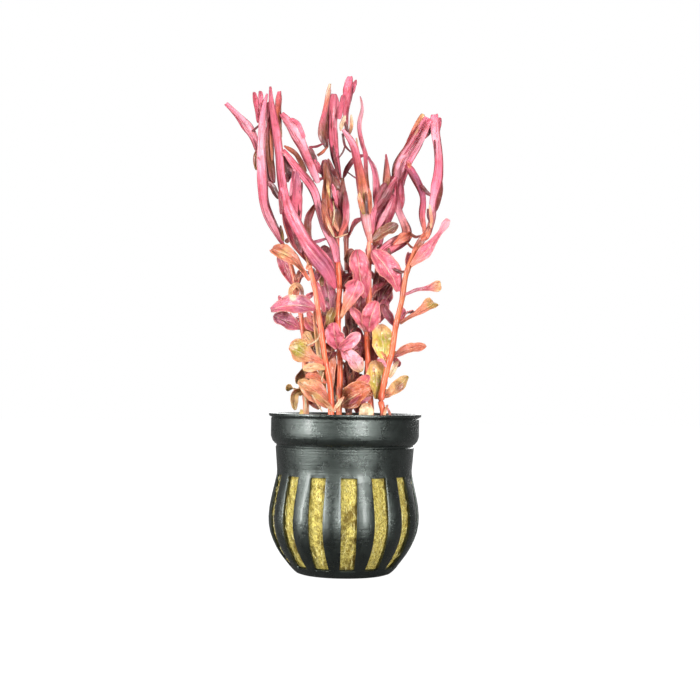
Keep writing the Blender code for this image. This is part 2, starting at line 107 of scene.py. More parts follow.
# Colours as seen, red, green and blue out of 255
BLUSH = (244, 166, 182)
ROSE = (236, 120, 146)
PINK = (218, 98, 122)
DEEP = (196, 78, 104)
MAUVE = (170, 86, 116)
WINE = (128, 38, 52)
# DARK is mostly painted shade: dark folds, marks and small leaves that fill the shaded gaps
DARK = (72, 18, 24)
BROWN = (128, 66, 38)
RUST = (190, 94, 54)
CORAL = (242, 122, 92)
BRIGHT = (240, 104, 62)
SALMON = (230, 136, 108)
PEACH = (236, 176, 128)
TAN = (218, 172, 112)
CREAM = (246, 224, 184)
OLIVE = (158, 130, 44)
GREEN = (158, 152, 30)
YELLOW = (226, 194, 96)

# Width of a leaf along its length, as a share of its widest place
STRAP = [(0, 0.38), (0.12, 0.8), (0.35, 1), (0.7, 0.95), (0.9, 0.62), (1, 0.22)]
OVAL = [(0, 0.22), (0.2, 0.66), (0.45, 0.98), (0.65, 1), (0.82, 0.84), (0.94, 0.54), (1, 0.2)]
SPOON = [(0, 0.17), (0.3, 0.35), (0.55, 0.75), (0.8, 1), (0.93, 0.8), (1, 0.4)]
FAN = [(0, 0.25), (0.45, 0.3), (0.7, 0.6), (0.9, 1), (1, 0.8)]
WAISTED = [(0, 0.3), (0.35, 1), (0.6, 0.5), (0.75, 0.32), (0.9, 0.6), (1, 0.35)]
RIBBON = [(0, 0.6), (0.08, 0.9), (0.4, 1), (0.8, 0.95), (0.94, 0.78), (1, 0.4)]
FOLD = [(0, 0.5), (0.3, 1), (0.7, 0.9), (0.9, 0.6), (1, 0.2)]
THREAD = [(0, 0.9), (0.5, 1), (1, 0.5)]
DOME = [(0, 1), (0.6, 0.95), (0.9, 0.6), (1, 0.25)]

# Stems: name, colours from foot to tip, heights of the nodes as drawn, points up the stem
STEMS = [
    ("stem_left", (PEACH, CORAL, SALMON), [58, 66, 80, 95], [
        (-13, 52.7, 5), (-13.6, 67, 5), (-14, 77, 5.3), (-15.1, 85, 5.6), (-16.6, 91, 6), (-17.2, 96, 6.4),
        (-19.1, 103, 7.2), (-21.6, 109, 8)]),
    ("stem_front_left", (BRIGHT, BRIGHT, CORAL), [56, 69, 80, 96], [
        (-4.7, 53, -8), (-5.2, 62, -8), (-7, 71, -7.5), (-8.4, 80.4, -7), (-9.5, 87, -6.5),
        (-10.6, 93.8, -6), (-12, 99.8, -5.5), (-12.8, 103, -5)]),
    ("stem_centre", (RUST, BRIGHT, BRIGHT, DEEP), [60, 73, 84, 94, 111], [
        (-2.1, 54, -1), (-1.9, 64, -1), (-2, 72, -1), (-2.8, 84, -1.5), (-2.4, 94, -2), (-3, 102, -2),
        (-3.4, 109, -1.5), (-4.2, 117, -1), (-6.4, 125, -0.2)]),
    ("stem_right", (CORAL, BRIGHT, SALMON), [66, 79, 91, 103], [
        (8.6, 54, 0), (7.4, 69, 0), (7, 79, -0.5), (7.5, 90.6, -1), (7.4, 100.7, -1), (7.3, 110, -0.5)]),
    ("stem_far_right", (CORAL, BRIGHT, RUST, RUST), [58, 70.5, 82.5, 92.5, 100.5, 108], [
        (12.6, 53.4, -6), (11.9, 58, -6.2), (14.1, 68.7, -6.8), (15.4, 73.4, -7), (16.6, 82.4, -7.6),
        (18.5, 90.8, -8.4), (19.8, 99.2, -9), (21.7, 104.9, -9.4), (23.7, 109.9, -9.8), (26, 113.2, -10)]),
    ("stem_back_right", (BROWN, WINE, BROWN), [58, 70, 83, 97, 110], [
        (5.6, 54, 9), (8.6, 80, 10), (9.8, 97, 11), (10.9, 110.8, 12), (12.2, 121, 12), (14, 128.5, 11)]),
    ("stem_back_centre", (BROWN, WINE, BROWN), [64, 77, 87, 97, 111], [
        (1.3, 54, 7), (0.6, 77, 8), (0, 99, 9.5), (-0.4, 111, 10.5), (-0.9, 124, 11), (-2, 131.5, 11)]),
]
# Leaves: name, outline (one of the above, or widths at even steps), width as seen, turn about
# the midrib in degrees, colours from base to tip, marks (share along, share across, size,
# colour), points from base to tip
LEAVES = [
    # The wet, clinging leaves of the left shoots
    ("strap_left_arrow", (1.8, 2, 2.1, 2.3, 2.9, 3.4, 2.8, 2.1, 1.8, 1.7, 1.4),
        3.4, 20, (ROSE, BLUSH, ROSE), [], [
        (-30.2, 139.8, 2.7), (-32.2, 145.5, 5), (-36, 150.8, 8), (-41.4, 156.2, 11)]),
    ("strap_left_outer", (1.2, 2.2, 3, 3.1, 2.6, 3.2, 3.3, 3, 2.8, 2.5, 2.3, 2.5, 2.4, 2.2, 1.7, 0.6),
        3.3, -25, (DEEP, BLUSH, PINK, ROSE, BLUSH, ROSE, ROSE), [], [
        (-22.7, 111.4, 7.4), (-25.3, 116.4, 6.5), (-27.7, 121.9, 5), (-28.3, 127, 3.6), (-28.8, 132.4, 2.4),
        (-29.2, 138.8, 1.4), (-29, 145, 0.6), (-28.7, 151.4, 0), (-28.2, 156.1, 0), (-27.5, 159.8, 0)]),
    ("strap_left_tall", (2.6, 2.8, 2.8, 2.5, 2.3, 2.4, 2.6, 2.7, 2.4, 1.6, 0.7),
        2.8, 15, (PINK, ROSE, ROSE, PINK, ROSE), [], [
        (-21.3, 123.5, -3.4), (-22, 128.6, -2), (-22.6, 132.8, -0.8), (-23.1, 138.8, 0.4), (-24, 145, 1.2),
        (-25.3, 151.4, 2.2), (-26.2, 156.6, 3), (-26.5, 162.2, 4)]),
    ("strap_left_tip", (1.2, 2, 2.4, 2.2, 1.9, 2.2, 1.3),
        2.4, -20, (TAN, RUST, PINK), [(0.1, 0.7, 0.2, CREAM)], [
        (-23.1, 146.5, 3.4), (-23.9, 152.5, 5), (-23.3, 160.6, 7)]),
    ("strap_left_inner", (2.2, 3, 3.3, 3.5, 3.3, 3, 1.6), 3.5, 30, (ROSE, PINK, MAUVE), [], [
        (-17.2, 116.3, -6.6), (-17.4, 124, -4.2), (-17.6, 133.6, -3)]),
    ("ribbon_left_broad", (0.9, 3.4, 4.9, 5.3, 4.8, 4.2, 3.8, 3.8, 3.7, 3.4, 3.1, 2.6),
        5.3, -15, (PINK, MAUVE, PINK, PINK, ROSE), [], [
        (-4.1, 95, -3.6), (-7, 101.2, -7), (-13.1, 108.8, -9.5), (-17.3, 116, -8.5), (-20, 122, -6.5),
        (-21.6, 128.5, -4.2)]),
    ("ribbon_left_salmon", (1, 2.2, 3, 3.2, 2.9, 2.6, 2, 1.2), 3.2, 20, (SALMON, PINK, ROSE), [], [
        (-14.1, 104.6, -4.4), (-17.2, 109.5, -3), (-19.9, 115.5, -1), (-21.9, 122.2, 1)]),
    ("strap_middle_left", (1.6, 2.4, 2.7, 2.7, 2.6, 2.9, 3.6, 4, 3.2, 2.9, 2),
        4, 20, (BLUSH, PINK, BLUSH, PINK), [], [
        (-11.2, 132.3, 0.5), (-13.5, 137.4, 1.5), (-15.9, 143.1, 2), (-19, 148.4, 2.5), (-22.9, 153, 2.8)]),
    ("strap_cross_left", (2, 2.9, 2.7, 2.3, 2.2, 2.1, 2.3, 2.6, 2.6, 2.5, 2.6, 2.1, 1.2),
        2.9, -15, (ROSE, BLUSH, ROSE, PINK), [], [
        (-3.3, 104, -3.4), (-4.2, 108.6, -3.2), (-7.4, 114.4, -2), (-9.6, 121, -1), (-11, 126.6, -0.6),
        (-13.8, 130.8, -0.6), (-17.8, 135.6, -0.4), (-22, 140.9, -1.4)]),
    # The shoots above the middle of the pot and to its right
    ("strap_centre", (1, 1.6, 2.1, 2.3, 2.4, 2.7, 2.9, 2.8, 3.2, 3.9, 3.7, 1.6),
        3.9, 30, (DEEP, ROSE, PINK, ROSE, PINK), [], [
        (-3.1, 132.9, 10), (-4.6, 140, 7), (-5.6, 149.3, 4), (-5.2, 160, 2)]),
    # its DARK mark at the base is painted shade where the leaf leaves the stem
    ("strap_centre_tan", (1.2, 2.5, 2.8, 2.6, 2, 1.6, 1.5, 1.5, 0.9),
        2.8, -30, (WINE, BROWN, DEEP, RUST, CREAM), [(0.05, 0.5, 0.16, DARK)], [
        (-7.6, 143.2, 4.6), (-8.7, 147, 3.4), (-7.9, 153.5, 1.6), (-6.3, 163.4, 0)]),
    ("strap_top_notched", (1.2, 1.5, 1.6, 1.8, 2.2, 2.7, 3.1, 3.3, 3, 1.6),
        3.3, -20, (BLUSH, PINK, PINK, ROSE), [], [
        (-0.7, 149.3, 4.6), (-1, 154, 5), (-0.4, 160, 6), (0.3, 165.9, 8)]),
    ("strap_thin_pale", (1.3, 1.4, 1.6, 1.4, 1.4, 1.5, 1.3, 0.9, 0.4), 1.6, 35, (PINK, BLUSH, BLUSH), [], [
        (5.2, 141, 6.6), (3.6, 146.1, 8), (3.5, 151.1, 9), (4.4, 155.2, 10), (3.7, 159.3, 11)]),
    ("strap_centre_right", (1.9, 2.5, 3.2, 3, 2.6, 3.4, 3.4, 2.9, 2.8, 2.4, 2.5, 2.4, 2, 1),
        3.4, 20, (SALMON, BLUSH, RUST, PINK, BLUSH), [(0.33, 0.8, 0.12, OLIVE)], [
        (7.1, 111.9, -0.5), (6.3, 116, -1), (5.6, 121.5, -1.5), (5.2, 126, -1.5), (4.3, 131, -0.8),
        (2.9, 137.6, 0.5), (1.4, 142.9, 2), (-2, 147.9, 3.6)]),
    ("strap_mauve", (2.6, 2.2, 2, 2.2, 2.2, 1.9, 1.6, 1.3, 0.7), 2.6, -35, (MAUVE, PINK, MAUVE), [], [
        (10.8, 118.2, 11), (9.9, 123.5, 9.5), (9.6, 129.3, 8.5), (8.7, 135, 7.6), (6.5, 139, 7)]),
    ("strap_short_right", (3.2, 3.2, 3, 2.7, 2.2, 1.7, 1.1, 0.5),
        3.2, 30, (PINK, SALMON, DEEP), [(0.35, 0, 0.22, TAN)], [
        (13.4, 125, 9.8), (13.1, 131.7, 8.6), (12.6, 139.8, 7)]),
    ("strap_bridge", STRAP, 1.8, 0, (WINE, WINE, DEEP), [], [
        (-1, 133, 10), (-0.1, 135.2, 9), (2.4, 138.2, 7), (5.6, 139.4, 5.4)]),
    ("strap_right_inner", (3, 3.7, 4.2, 4.8, 4.9, 4.8, 4.8, 4.6, 4.2, 3.4, 2),
        4.9, 20, (ROSE, BLUSH, BLUSH, ROSE), [(0.8, 1, 0.06, TAN)], [
        (16.6, 128.6, 7.6), (17.8, 135, 6), (20.2, 140, 4.6), (23, 145.2, 3), (26.4, 152.4, 1)]),
    ("strap_right_outer", (1.8, 2.1, 2, 2, 2.4, 3.2, 3.1, 2.6, 2.5, 2.5, 2.6, 2.9, 3.2, 2.4),
        3.2, -20, (SALMON, BLUSH, ROSE, PINK, BLUSH, ROSE), [], [
        (27.6, 114.9, -9.6), (28.7, 119, -9.2), (28.5, 123, -8), (29.6, 129, -6), (30.4, 135.5, -4),
        (30.2, 141, -2), (29.3, 147, -0.4), (28.9, 153.4, 1)]),
    ("strap_right_cross", (1.3, 1.8, 2, 1.8, 1.6, 1.9, 2.2, 2.4, 2.6, 2.6, 1.8),
        2.6, 20, (SALMON, PINK, MAUVE, MAUVE, DEEP), [], [
        (25.4, 115.4, -10.2), (24.9, 119.5, -9.6), (25.3, 123.8, -8), (24.6, 127.4, -5.6),
        (22.7, 131.4, -2.4), (19.6, 136.2, 2.2)]),
    ("strap_crimson", (1.4, 2, 2.2, 2.3, 2.2, 1.8, 1.2), 2.3, -25, (DEEP, WINE, DEEP), [], [
        (8.6, 119.5, 3), (12.4, 124.9, 3.6), (16.3, 132, 4.6)]),
    ("blade_right_folded", (1.4, 2.6, 3.6, 4.2, 4.4, 3.8, 3, 2.4, 2.3, 2.4, 2, 1.4),
        4.4, -20, (DEEP, ROSE, SALMON, BLUSH, ROSE), [], [
        (8.8, 103.2, -0.2), (13, 107.4, 2.6), (16.5, 109.8, 3.2), (20, 112.4, 3), (19, 116.5, 4),
        (16.9, 121.4, 5), (16.2, 127.2, 6)]),
    ("cup_leaf_left", STRAP, 2.4, -35, (RUST, SALMON, BROWN), [], [
        (-4.9, 112.2, -3.3), (-6.6, 118, -4.6), (-8.4, 123.3, -5.8)]),
    ("cup_leaf_right", STRAP, 2.2, 35, (CORAL, DEEP, WINE), [], [
        (-2.5, 112.4, -2.8), (-0.9, 117.4, -3.2), (-0.8, 127.3, -2.8)]),
    ("leaf_dry_tan", STRAP, 3, 0, (BROWN, RUST, BROWN, BROWN), [], [
        (-5.4, 115.2, -2.7), (-6.7, 120, -2.7), (-7.3, 126, -2.2), (-7, 131, -1), (-7.9, 136.9, 0.6)]),
    ("leaf_maroon_right", OVAL, 4.2, -20, (BROWN, BROWN, DARK), [], [
        (9, 110.9, 0.6), (12.6, 113.5, 1), (16.9, 116.1, 1.5)]),
    ("leaf_crumpled", OVAL, 5.2, 30, (RUST, DEEP, PINK), [], [
        (9.2, 109.5, 9.6), (10.4, 115, 8.2), (11.5, 120.5, 7.6), (12.3, 126.2, 7.2)]),
    # The broad lower leaves
    ("leaf_orange_left", SPOON, 5.4, 25, (CORAL, RUST, SALMON, RUST), [(0.75, 0.5, 0.12, TAN)], [
        (-12.9, 97.4, -5.2), (-15.3, 100.6, -2.2), (-19.5, 104.9, 1.5), (-25.3, 107.5, 5)]),
    ("leaf_pink_left", OVAL, 4.2, -20, (DEEP, DEEP, MAUVE), [], [
        (-18.3, 96.2, 8.4), (-19.6, 99.5, 10), (-21.2, 103, 11.6), (-22.7, 106.2, 13.2)]),
    ("leaf_broad_left_upper", (1.3, 3.2, 4.6, 5.7, 6.3, 5.6, 5.8, 6.4, 5.5, 4.6, 3.9, 2.6, 1.4),
        6.4, 25, (DEEP, MAUVE, PINK, MAUVE), [(0.5, 0.1, 0.08, CREAM)], [
        (-11.1, 87.7, -7.2), (-16, 88.7, -9), (-21.5, 88, -10), (-25.3, 86.8, -9.6)]),
    ("leaf_broad_left_lower", OVAL, 5.4, 20, (DEEP, MAUVE, MAUVE), [], [
        (-16, 81.2, 5.2), (-18.7, 82.5, 4.6), (-24.4, 85, 3)]),
    ("leaf_middle_pink", SPOON, 6.6, -20, (PEACH, SALMON, PINK, ROSE), [], [
        (-1.5, 85.2, -3.1), (0.2, 88.9, -5), (2.4, 93, -7), (3.9, 97.2, -8.6)]),
    ("leaf_oval_centre", OVAL, 7, 20, (DEEP, DEEP, PINK, DEEP), [], [
        (6, 92.2, -2.6), (4.8, 97.5, -4), (4, 102, -4.6), (3.4, 107.6, -4.2)]),
    ("leaf_long_right", OVAL, 7.4, 20, (PINK, DEEP, PINK, DEEP), [], [
        (16.9, 94.3, -8.4), (14.6, 99.5, -6.5), (11.5, 103.5, -5.8), (8.4, 107.2, -6)]),
    ("leaf_bright_pink", OVAL, 6.4, -15, (PINK, DEEP, PINK, PINK), [], [
        (7.5, 80.8, -2.6), (8.3, 85, -6), (10.2, 90.3, -7.5)]),
    ("leaf_purple_crinkled", OVAL, 6, -25, (WINE, MAUVE, WINE), [], [
        (10.4, 85, 10.8), (12, 89.5, 13), (13.9, 95.7, 15.5)]),
    ("leaf_yellow_upper", OVAL,
        7.2, 0, (YELLOW, YELLOW, YELLOW, PEACH), [(0.34, 0.5, 0.2, GREEN), (0.62, 0.4, 0.24, GREEN)], [
        (12.7, 71, -5.2), (12.3, 76, -4.2), (11.3, 82.6, -3.4)]),
    ("leaf_yellow_lower", OVAL, 7, 15, (OLIVE, YELLOW, YELLOW, PEACH), [(0.45, 0.4, 0.26, GREEN)], [
        (10.5, 58.5, -4.7), (10.4, 64, -4.2), (9.5, 70.5, -3)]),
    ("leaf_low_pink", OVAL, 6.2, -15, (DEEP, ROSE, DEEP), [], [
        (-2.9, 74.8, -2.7), (-3.7, 78.5, -5), (-4.2, 83, -6.5)]),
    ("leaf_low_pointed", OVAL, 5.2, -20, (PINK, BLUSH, BLUSH, OLIVE), [], [
        (-0.9, 73.6, -2.6), (1.8, 71.2, -5.5), (5.3, 66.6, -8.5)]),
    ("leaf_spoon_left", SPOON,
        7.6, 25, (CORAL, SALMON, TAN, SALMON), [(0.78, 0.4, 0.26, GREEN), (0.84, 0.36, 0.07, CREAM)], [
        (-8.2, 69.7, -8.4), (-13, 71.9, -10.5), (-19, 74.6, -12.5)]),
    ("leaf_low_left", OVAL, 5.2, 25, (RUST, SALMON, TAN), [], [
        (-6.3, 55.3, -9), (-10.5, 59, -11.5), (-15.9, 63.2, -14)]),
    ("leaf_low_right", OVAL, 7.4, -20, (BROWN, BROWN, RUST, RUST), [], [
        (-0.8, 55.8, -3), (3, 58.5, -7.5), (8.4, 61.6, -12)]),
    ("leaf_right_high", WAISTED, 4.5, -20, (SALMON, PINK, DEEP, BLUSH), [], [
        (22, 102.8, -10.8), (25.5, 106.3, -12), (28.3, 109.5, -13), (31.4, 114.1, -14),
        (33.9, 118.1, -15)]),
    ("leaf_right_fan", FAN, 3.8, -15, (DEEP, MAUVE, DEEP, TAN), [], [
        (20.3, 92.9, -9.4), (23.5, 94.3, -11), (27, 94.8, -13), (31.6, 95.8, -15.5)]),
    ("leaf_right_orange", FAN, 5, -25, (BROWN, SALMON, SALMON, TAN), [(0.92, 0.4, 0.15, OLIVE)], [
        (18.3, 83.3, -6.9), (21.5, 85.2, -4.5), (25, 87.3, -2), (29.4, 90.1, 1)]),
    ("leaf_right_salmon", OVAL, 3.4, -25, (WINE, SALMON, SALMON), [], [
        (16.5, 71.9, -6.6), (20, 74, -3.5), (26.7, 75.7, 1)]),
    ("leaf_right_low", OVAL, 3.9, -25, (SALMON, TAN, OLIVE), [(0.6, 0.3, 0.2, BROWN)], [
        (13.5, 58.8, -7), (16.5, 61, -9.5), (21, 65.2, -12.5)]),
    # Leaves on the far side, in dark wine: partly their own colour, partly painted shade
    ("leaf_back_upper", OVAL, 5.2, 20, (WINE, DEEP, WINE), [], [
        (-1.5, 98.2, 10), (-4.5, 102, 12.5), (-7.6, 108.2, 15)]),
    ("leaf_back_middle", OVAL, 4.8, 25, (WINE, MAUVE, DEEP), [], [
        (-1.2, 86.2, 9.4), (-4.2, 89.5, 12.5), (-7, 94, 17)]),
    ("leaf_back_lower", OVAL, 5.4, 20, (WINE, DEEP, MAUVE), [], [
        (5.8, 70.8, 10.4), (4.2, 74.5, 13.5), (2.4, 79, 17.5)]),
]
# Small leaves, curls, twigs and roots past the limit of CAD nodes, by the group they are joined
# in: outline, width, turn, colours, points
# # joined in: outline, width, turn, colours, points
# Those coloured mostly DARK and WINE, above all in the inner group, are painted shade: dark sheets put in
# the gaps between leaves and stems.
EXTRAS = {"left": [
    (RIBBON, 1.8, 20, (DEEP, PINK, DEEP), [(-30.1, 149.7, 1.6), (-31.2, 156.1, 2.2), (-32, 160.2, 3)]),
    (STRAP, 1.9, 0, (OLIVE, BROWN, OLIVE), [(-30.2, 141.2, 2.4), (-31, 137.8, 2.8), (-30.8, 133.8, 3.2)]),
    (THREAD, 0.8, 0, (DARK, WINE, DARK), [(-32.4, 146.9, 5), (-31, 148, 3.4), (-29.9, 149.3, 1.6)]),
    (STRAP, 2.7, 20, (WINE, BROWN, BROWN, DEEP), [
        (-24.9, 129.5, 2.4), (-26.4, 137.5, 2.8), (-26.9, 144, 3.2), (-27, 150, 3.4)]),
    (RIBBON, 2.2, -15, (DARK, WINE, PINK), [(-26.6, 140, 4.2), (-26.4, 148, 4.6), (-26.9, 157, 5)]),
    (STRAP, 1.5, 0, (WINE, WINE, DEEP), [(-22.3, 119, -7), (-22.4, 123, -6.6), (-22.9, 127.6, -5)]),
    (STRAP, 2.2, 0, (DARK, DARK, WINE), [(-23.2, 124.2, 0.4), (-24.9, 127.6, 1.2), (-27, 130.2, 2)]),
    (STRAP, 1.8, 20, (BROWN, BROWN, RUST), [(-14.1, 133.4, 1.2), (-17.6, 139.1, 1.4), (-21.6, 142.2, 1)]),
    (STRAP, 2.4, 0, (WINE, DARK, DARK), [(-20.4, 129.8, 1.6), (-19.8, 134, 1.8), (-20.8, 139, 1.8)]),
    (RIBBON, 1.4, 0, (BLUSH, ROSE, BLUSH), [
        (-18, 134.2, -2.6), (-18.6, 129.6, -4.4), (-19.2, 125.2, -5.6)]),
    (STRAP, 1.5, 0, (WINE, DARK, WINE), [(-15.2, 106, -10.4), (-16.6, 109, -10.6), (-18, 113, -10)]),
    (STRAP, 1.4, 0, (OLIVE, BROWN), [(-21.4, 110, 6.8), (-22.1, 113, 6.6), (-22.4, 115.4, 6.4)]),
    (STRAP, 1.6, 0, (BROWN, WINE), [(-20.6, 109.6, 5.6), (-19.9, 110.4, 4.6), (-19.6, 111.4, 4)]),
    (STRAP, 1.7, 20, (RUST, PINK, DEEP), [
        (-22, 110, 9), (-23.6, 113.8, 8.6), (-25.6, 118.4, 8), (-27.6, 121.6, 7)]),
    (STRAP, 2.9, 0, (WINE, DARK, BROWN, WINE), [
        (-25.6, 128, 3.4), (-26.3, 136, 3.6), (-26.4, 144, 4), (-26.6, 152, 4.4)]),
    (STRAP, 1.2, 0, (RUST, SALMON, RUST), [(-25.6, 137, 2), (-25.9, 144, 2.4), (-26.4, 151, 2.8)]),
    (RIBBON, 1.6, 0, (PINK, ROSE, PINK, PINK), [
        (-14.9, 144.8, 1), (-16, 147.6, 1.2), (-17.2, 149.8, 1.4), (-19.6, 151.4, 1.8)]),
    (RIBBON, 1.7, 20, (PINK, ROSE, PINK), [(-29.2, 153.4, 1), (-29.6, 157.4, 1.8), (-29.9, 160.6, 2.4)]),
    (STRAP, 2.6, 0, (DARK, DARK, WINE), [(-18.6, 131.6, 0.6), (-20.4, 134.6, 1), (-21.6, 138.8, 1.2)]),
    (STRAP, 1.3, 0, (DARK, WINE, DARK), [(-15.4, 130, -2.6), (-15.9, 125.4, -3.4), (-16.3, 118, -5.8)]),
    (STRAP, 1, 0, (DARK, DARK, WINE), [(-17, 112.8, -8), (-15.6, 108.4, -8.6), (-14.2, 103.8, -6)]),
], "middle": [
    (STRAP, 2.6, 10, (WINE, BROWN, WINE, RUST), [
        (-12.4, 109.2, 3), (-13.4, 113.6, 3.4), (-13, 118, 3.6), (-10.8, 122.8, 3.6)]),
    (THREAD, 1.2, 0, (MAUVE, MAUVE, DEEP), [(-13, 109.4, 2.4), (-9.6, 110.2, 1), (-6, 111.4, -1.4)]),
    (THREAD, 0.9, 0, (DEEP, WINE, DEEP), [(-13.4, 141.7, 1.8), (-10.8, 142, 3.2), (-8, 143.3, 4.8)]),
    (THREAD, 1.1, 0, (BROWN, RUST, BROWN), [(-10.4, 138.9, 2.6), (-8.6, 140.2, 3.6), (-7, 142, 4.6)]),
    (STRAP, 2.2, 0, (DARK, DARK, WINE), [(-10.8, 136.4, 2.2), (-12, 138.9, 2.2), (-12.8, 141.6, 2)]),
    (OVAL, 2.4, 20, (WINE, DEEP, PINK), [(-8.8, 132.6, 2), (-10.4, 135, 2.2), (-11.9, 137.6, 2.2)]),
    (THREAD, 1.2, 0, (WINE, DEEP, BROWN), [(-11.7, 130.7, 0.8), (-10, 130.8, 0.6), (-7.6, 131.7, 0.2)]),
    (STRAP, 2, 20, (BROWN, DARK, BROWN), [(-4.2, 128, 3), (-5.2, 132.2, 3), (-6.8, 138, 2.6)]),
    (STRAP, 1.2, 0, (DARK, WINE, DARK), [(-2.8, 131, 8), (-4, 136, 6.4), (-5.2, 142.5, 4.4)]),
    (STRAP, 1.7, 0, (TAN, SALMON, DARK), [(-2.6, 126.6, 5), (-3.4, 130, 6), (-4.6, 134.6, 6.6)]),
    (OVAL, 2.6, -20, (CORAL, ROSE, PINK), [(-2.4, 119.6, 1.6), (-3, 123, 1.6), (-3.4, 127.4, 1.4)]),
    (OVAL, 3, 0, (RUST, BROWN, BROWN, DARK), [(-3, 112, -2), (-3.2, 115.6, -2.4), (-3.6, 121.4, -2.2)]),
    (STRAP, 1.2, 0, (CREAM, PEACH, RUST), [(-4.4, 111.6, -3.8), (-6, 115, -5), (-7.6, 119.6, -5.6)]),
    (THREAD, 0.6, 0, (CREAM, PEACH, CREAM), [(-4, 111.4, -4), (-2.2, 111.9, -4.2), (0.2, 112.8, -3.6)]),
    (THREAD, 0.7, 0, (WINE, DARK, WINE), [(-1, 112.2, -3.4), (-0.6, 113.2, -3.4), (0, 114.4, -3.2)]),
    (OVAL, 6.4, 0, (WINE, DARK, BROWN), [
        (-4.4, 111, 2.4), (-4.4, 118, 2.8), (-4.6, 126, 3), (-5.4, 132, 3.4)]),
    (OVAL, 5.2, 0, (BROWN, DARK, WINE), [(-3.6, 124, 3.8), (-5.6, 130.6, 3.6), (-8.2, 137.6, 3.2)]),
    (STRAP, 2.2, 0, (BROWN, RUST, BROWN), [(-6.4, 113.4, -3.4), (-7.6, 118.6, -4), (-8.2, 124.6, -3.6)]),
    (STRAP, 2.4, 0, (DARK, WINE, BROWN), [(-1.8, 113, -0.2), (-1.6, 120, -0.6), (-1.6, 130.6, -0.4)]),
    (STRAP, 1.6, 0, (SALMON, PEACH, CORAL), [(-3, 113.4, -3.8), (-4.8, 117.4, -4.2), (-6, 121.4, -4.4)]),
    (OVAL, 1.2, 0, (OLIVE, TAN, BROWN), [(-6, 124.4, -4.6), (-6.6, 128, -4), (-7, 131.6, -3)]),
    (OVAL, 1.6, 0, (DEEP, ROSE, DEEP), [(-3.4, 122, -3.4), (-4.4, 126, -3.6), (-5.3, 129.6, -3.4)]),
    (THREAD, 0.6, 0, (OLIVE, CREAM, OLIVE), [(-5, 115.4, -5.6), (-4.5, 119.6, -5.6), (-4.9, 123.8, -5)]),
], "centre": [
    (THREAD, 0.9, 0, (DARK, WINE, WINE), [
        (-2, 146.6, 4.4), (-1.4, 143, 4.8), (-0.8, 141.9, 5), (0.9, 140.2, 5.2)]),
    (THREAD, 0.6, 0, (WINE, DARK, DARK), [(-1.2, 142.2, 5), (-1.8, 140.4, 5.4), (-3.1, 138.3, 6.2)]),
    (THREAD, 0.5, 0, (WINE, DEEP, WINE), [
        (-0.2, 133.5, 9), (1.6, 132.2, 6), (2.9, 131.2, 3), (3.1, 129, 1)]),
    (OVAL, 1.7, 20, (PEACH, CREAM, CREAM), [(-2.8, 147.4, 3.4), (-2.3, 149.8, 3.6), (-1.2, 152.6, 4)]),
    (STRAP, 1.3, 0, (BROWN, PEACH, CREAM), [(0.2, 146.2, 3.6), (0.9, 149, 4), (0.8, 153, 4.4)]),
    (STRAP, 1.3, 0, (DARK, DARK, BROWN), [(0, 147, 3), (-0.8, 148.6, 3.2), (-1.1, 150.6, 3.4)]),
    (STRAP, 1.5, 0, (RUST, BROWN, PINK, PINK), [
        (7.2, 125.5, 0.6), (6.1, 132.6, 2), (5.6, 139.3, 3.2), (4.2, 145.8, 4)]),
    (STRAP, 1.9, -20, (OLIVE, RUST, TAN), [(5.6, 119.4, -2.6), (4.6, 122.6, -2.8), (3.9, 126.8, -2.4)]),
    (STRAP, 1.6, 0, (SALMON, RUST, SALMON), [(7.4, 119.4, -2.6), (7.5, 123, -2.4), (7, 128.2, -1.6)]),
    (STRAP, 0.9, 0, (DARK, DARK, BROWN), [(6.3, 119.6, -3.2), (6.3, 123.2, -3.2), (5.9, 127, -2.8)]),
    (STRAP, 1.6, 20, (BLUSH, PINK, BLUSH), [
        (5.4, 139.5, 5), (4.6, 143, 5.6), (3.6, 147.4, 6.4), (3.2, 151, 7)]),
    (THREAD, 0.7, 0, (CREAM, PEACH), [(3.4, 140.2, 3.4), (3, 142.4, 3.2), (2.6, 145.2, 3.4)]),
    (RIBBON, 2, 0, (DEEP, PINK, DEEP), [(-3.4, 151.4, 2.8), (-2.6, 155.4, 3.2), (-1.8, 159.6, 4.2)]),
    (STRAP, 1.6, 0, (PINK, ROSE, PINK), [(1, 160, 6.4), (1.6, 162.6, 7), (2.4, 164.8, 7.6)]),
    (STRAP, 1.8, 0, (WINE, BROWN, SALMON, PINK), [(-7.6, 143.6, 5.6), (-7, 150, 5), (-6.7, 156, 4.2)]),
], "right": [
    (STRAP, 1.3, 0, (DARK, DARK, WINE), [(28.1, 116.2, -10.2), (27.2, 118.8, -9.8), (26.8, 121.6, -9)]),
    (STRAP, 1.2, 0, (PEACH, SALMON, CREAM), [(27.9, 115, -11), (28, 118, -10.6), (27.4, 123, -9.4)]),
    (THREAD, 1.2, 0, (BROWN, BROWN, WINE), [(20.6, 113.4, 2.4), (22.6, 112, -4), (24.6, 112.4, -9.4)]),
    (THREAD, 0.8, 0, (RUST, BROWN, SALMON), [(19.8, 110.2, 2.4), (21.4, 108.6, -3), (23.4, 108, -9.4)]),
    (THREAD, 1.3, 0, (WINE, DARK, BROWN), [(15.2, 101.6, -6), (17.4, 100.2, -7.4), (19.9, 100.4, -9)]),
    (STRAP, 2.4, 0, (RUST, BROWN, CORAL), [(22.8, 107.4, -10.2), (24.6, 110.4, -10.6), (26.6, 114, -10.6)]),
    (STRAP, 2, 0, (CORAL, RUST, BROWN), [(24.9, 110.8, -10.6), (26.6, 112.4, -10.8), (27.6, 115.8, -10.4)]),
    (RIBBON, 2.3, 0, (ROSE, SALMON, TAN), [(20, 143.2, 4.6), (22.4, 148.2, 3.6), (25, 153.5, 2.4)]),
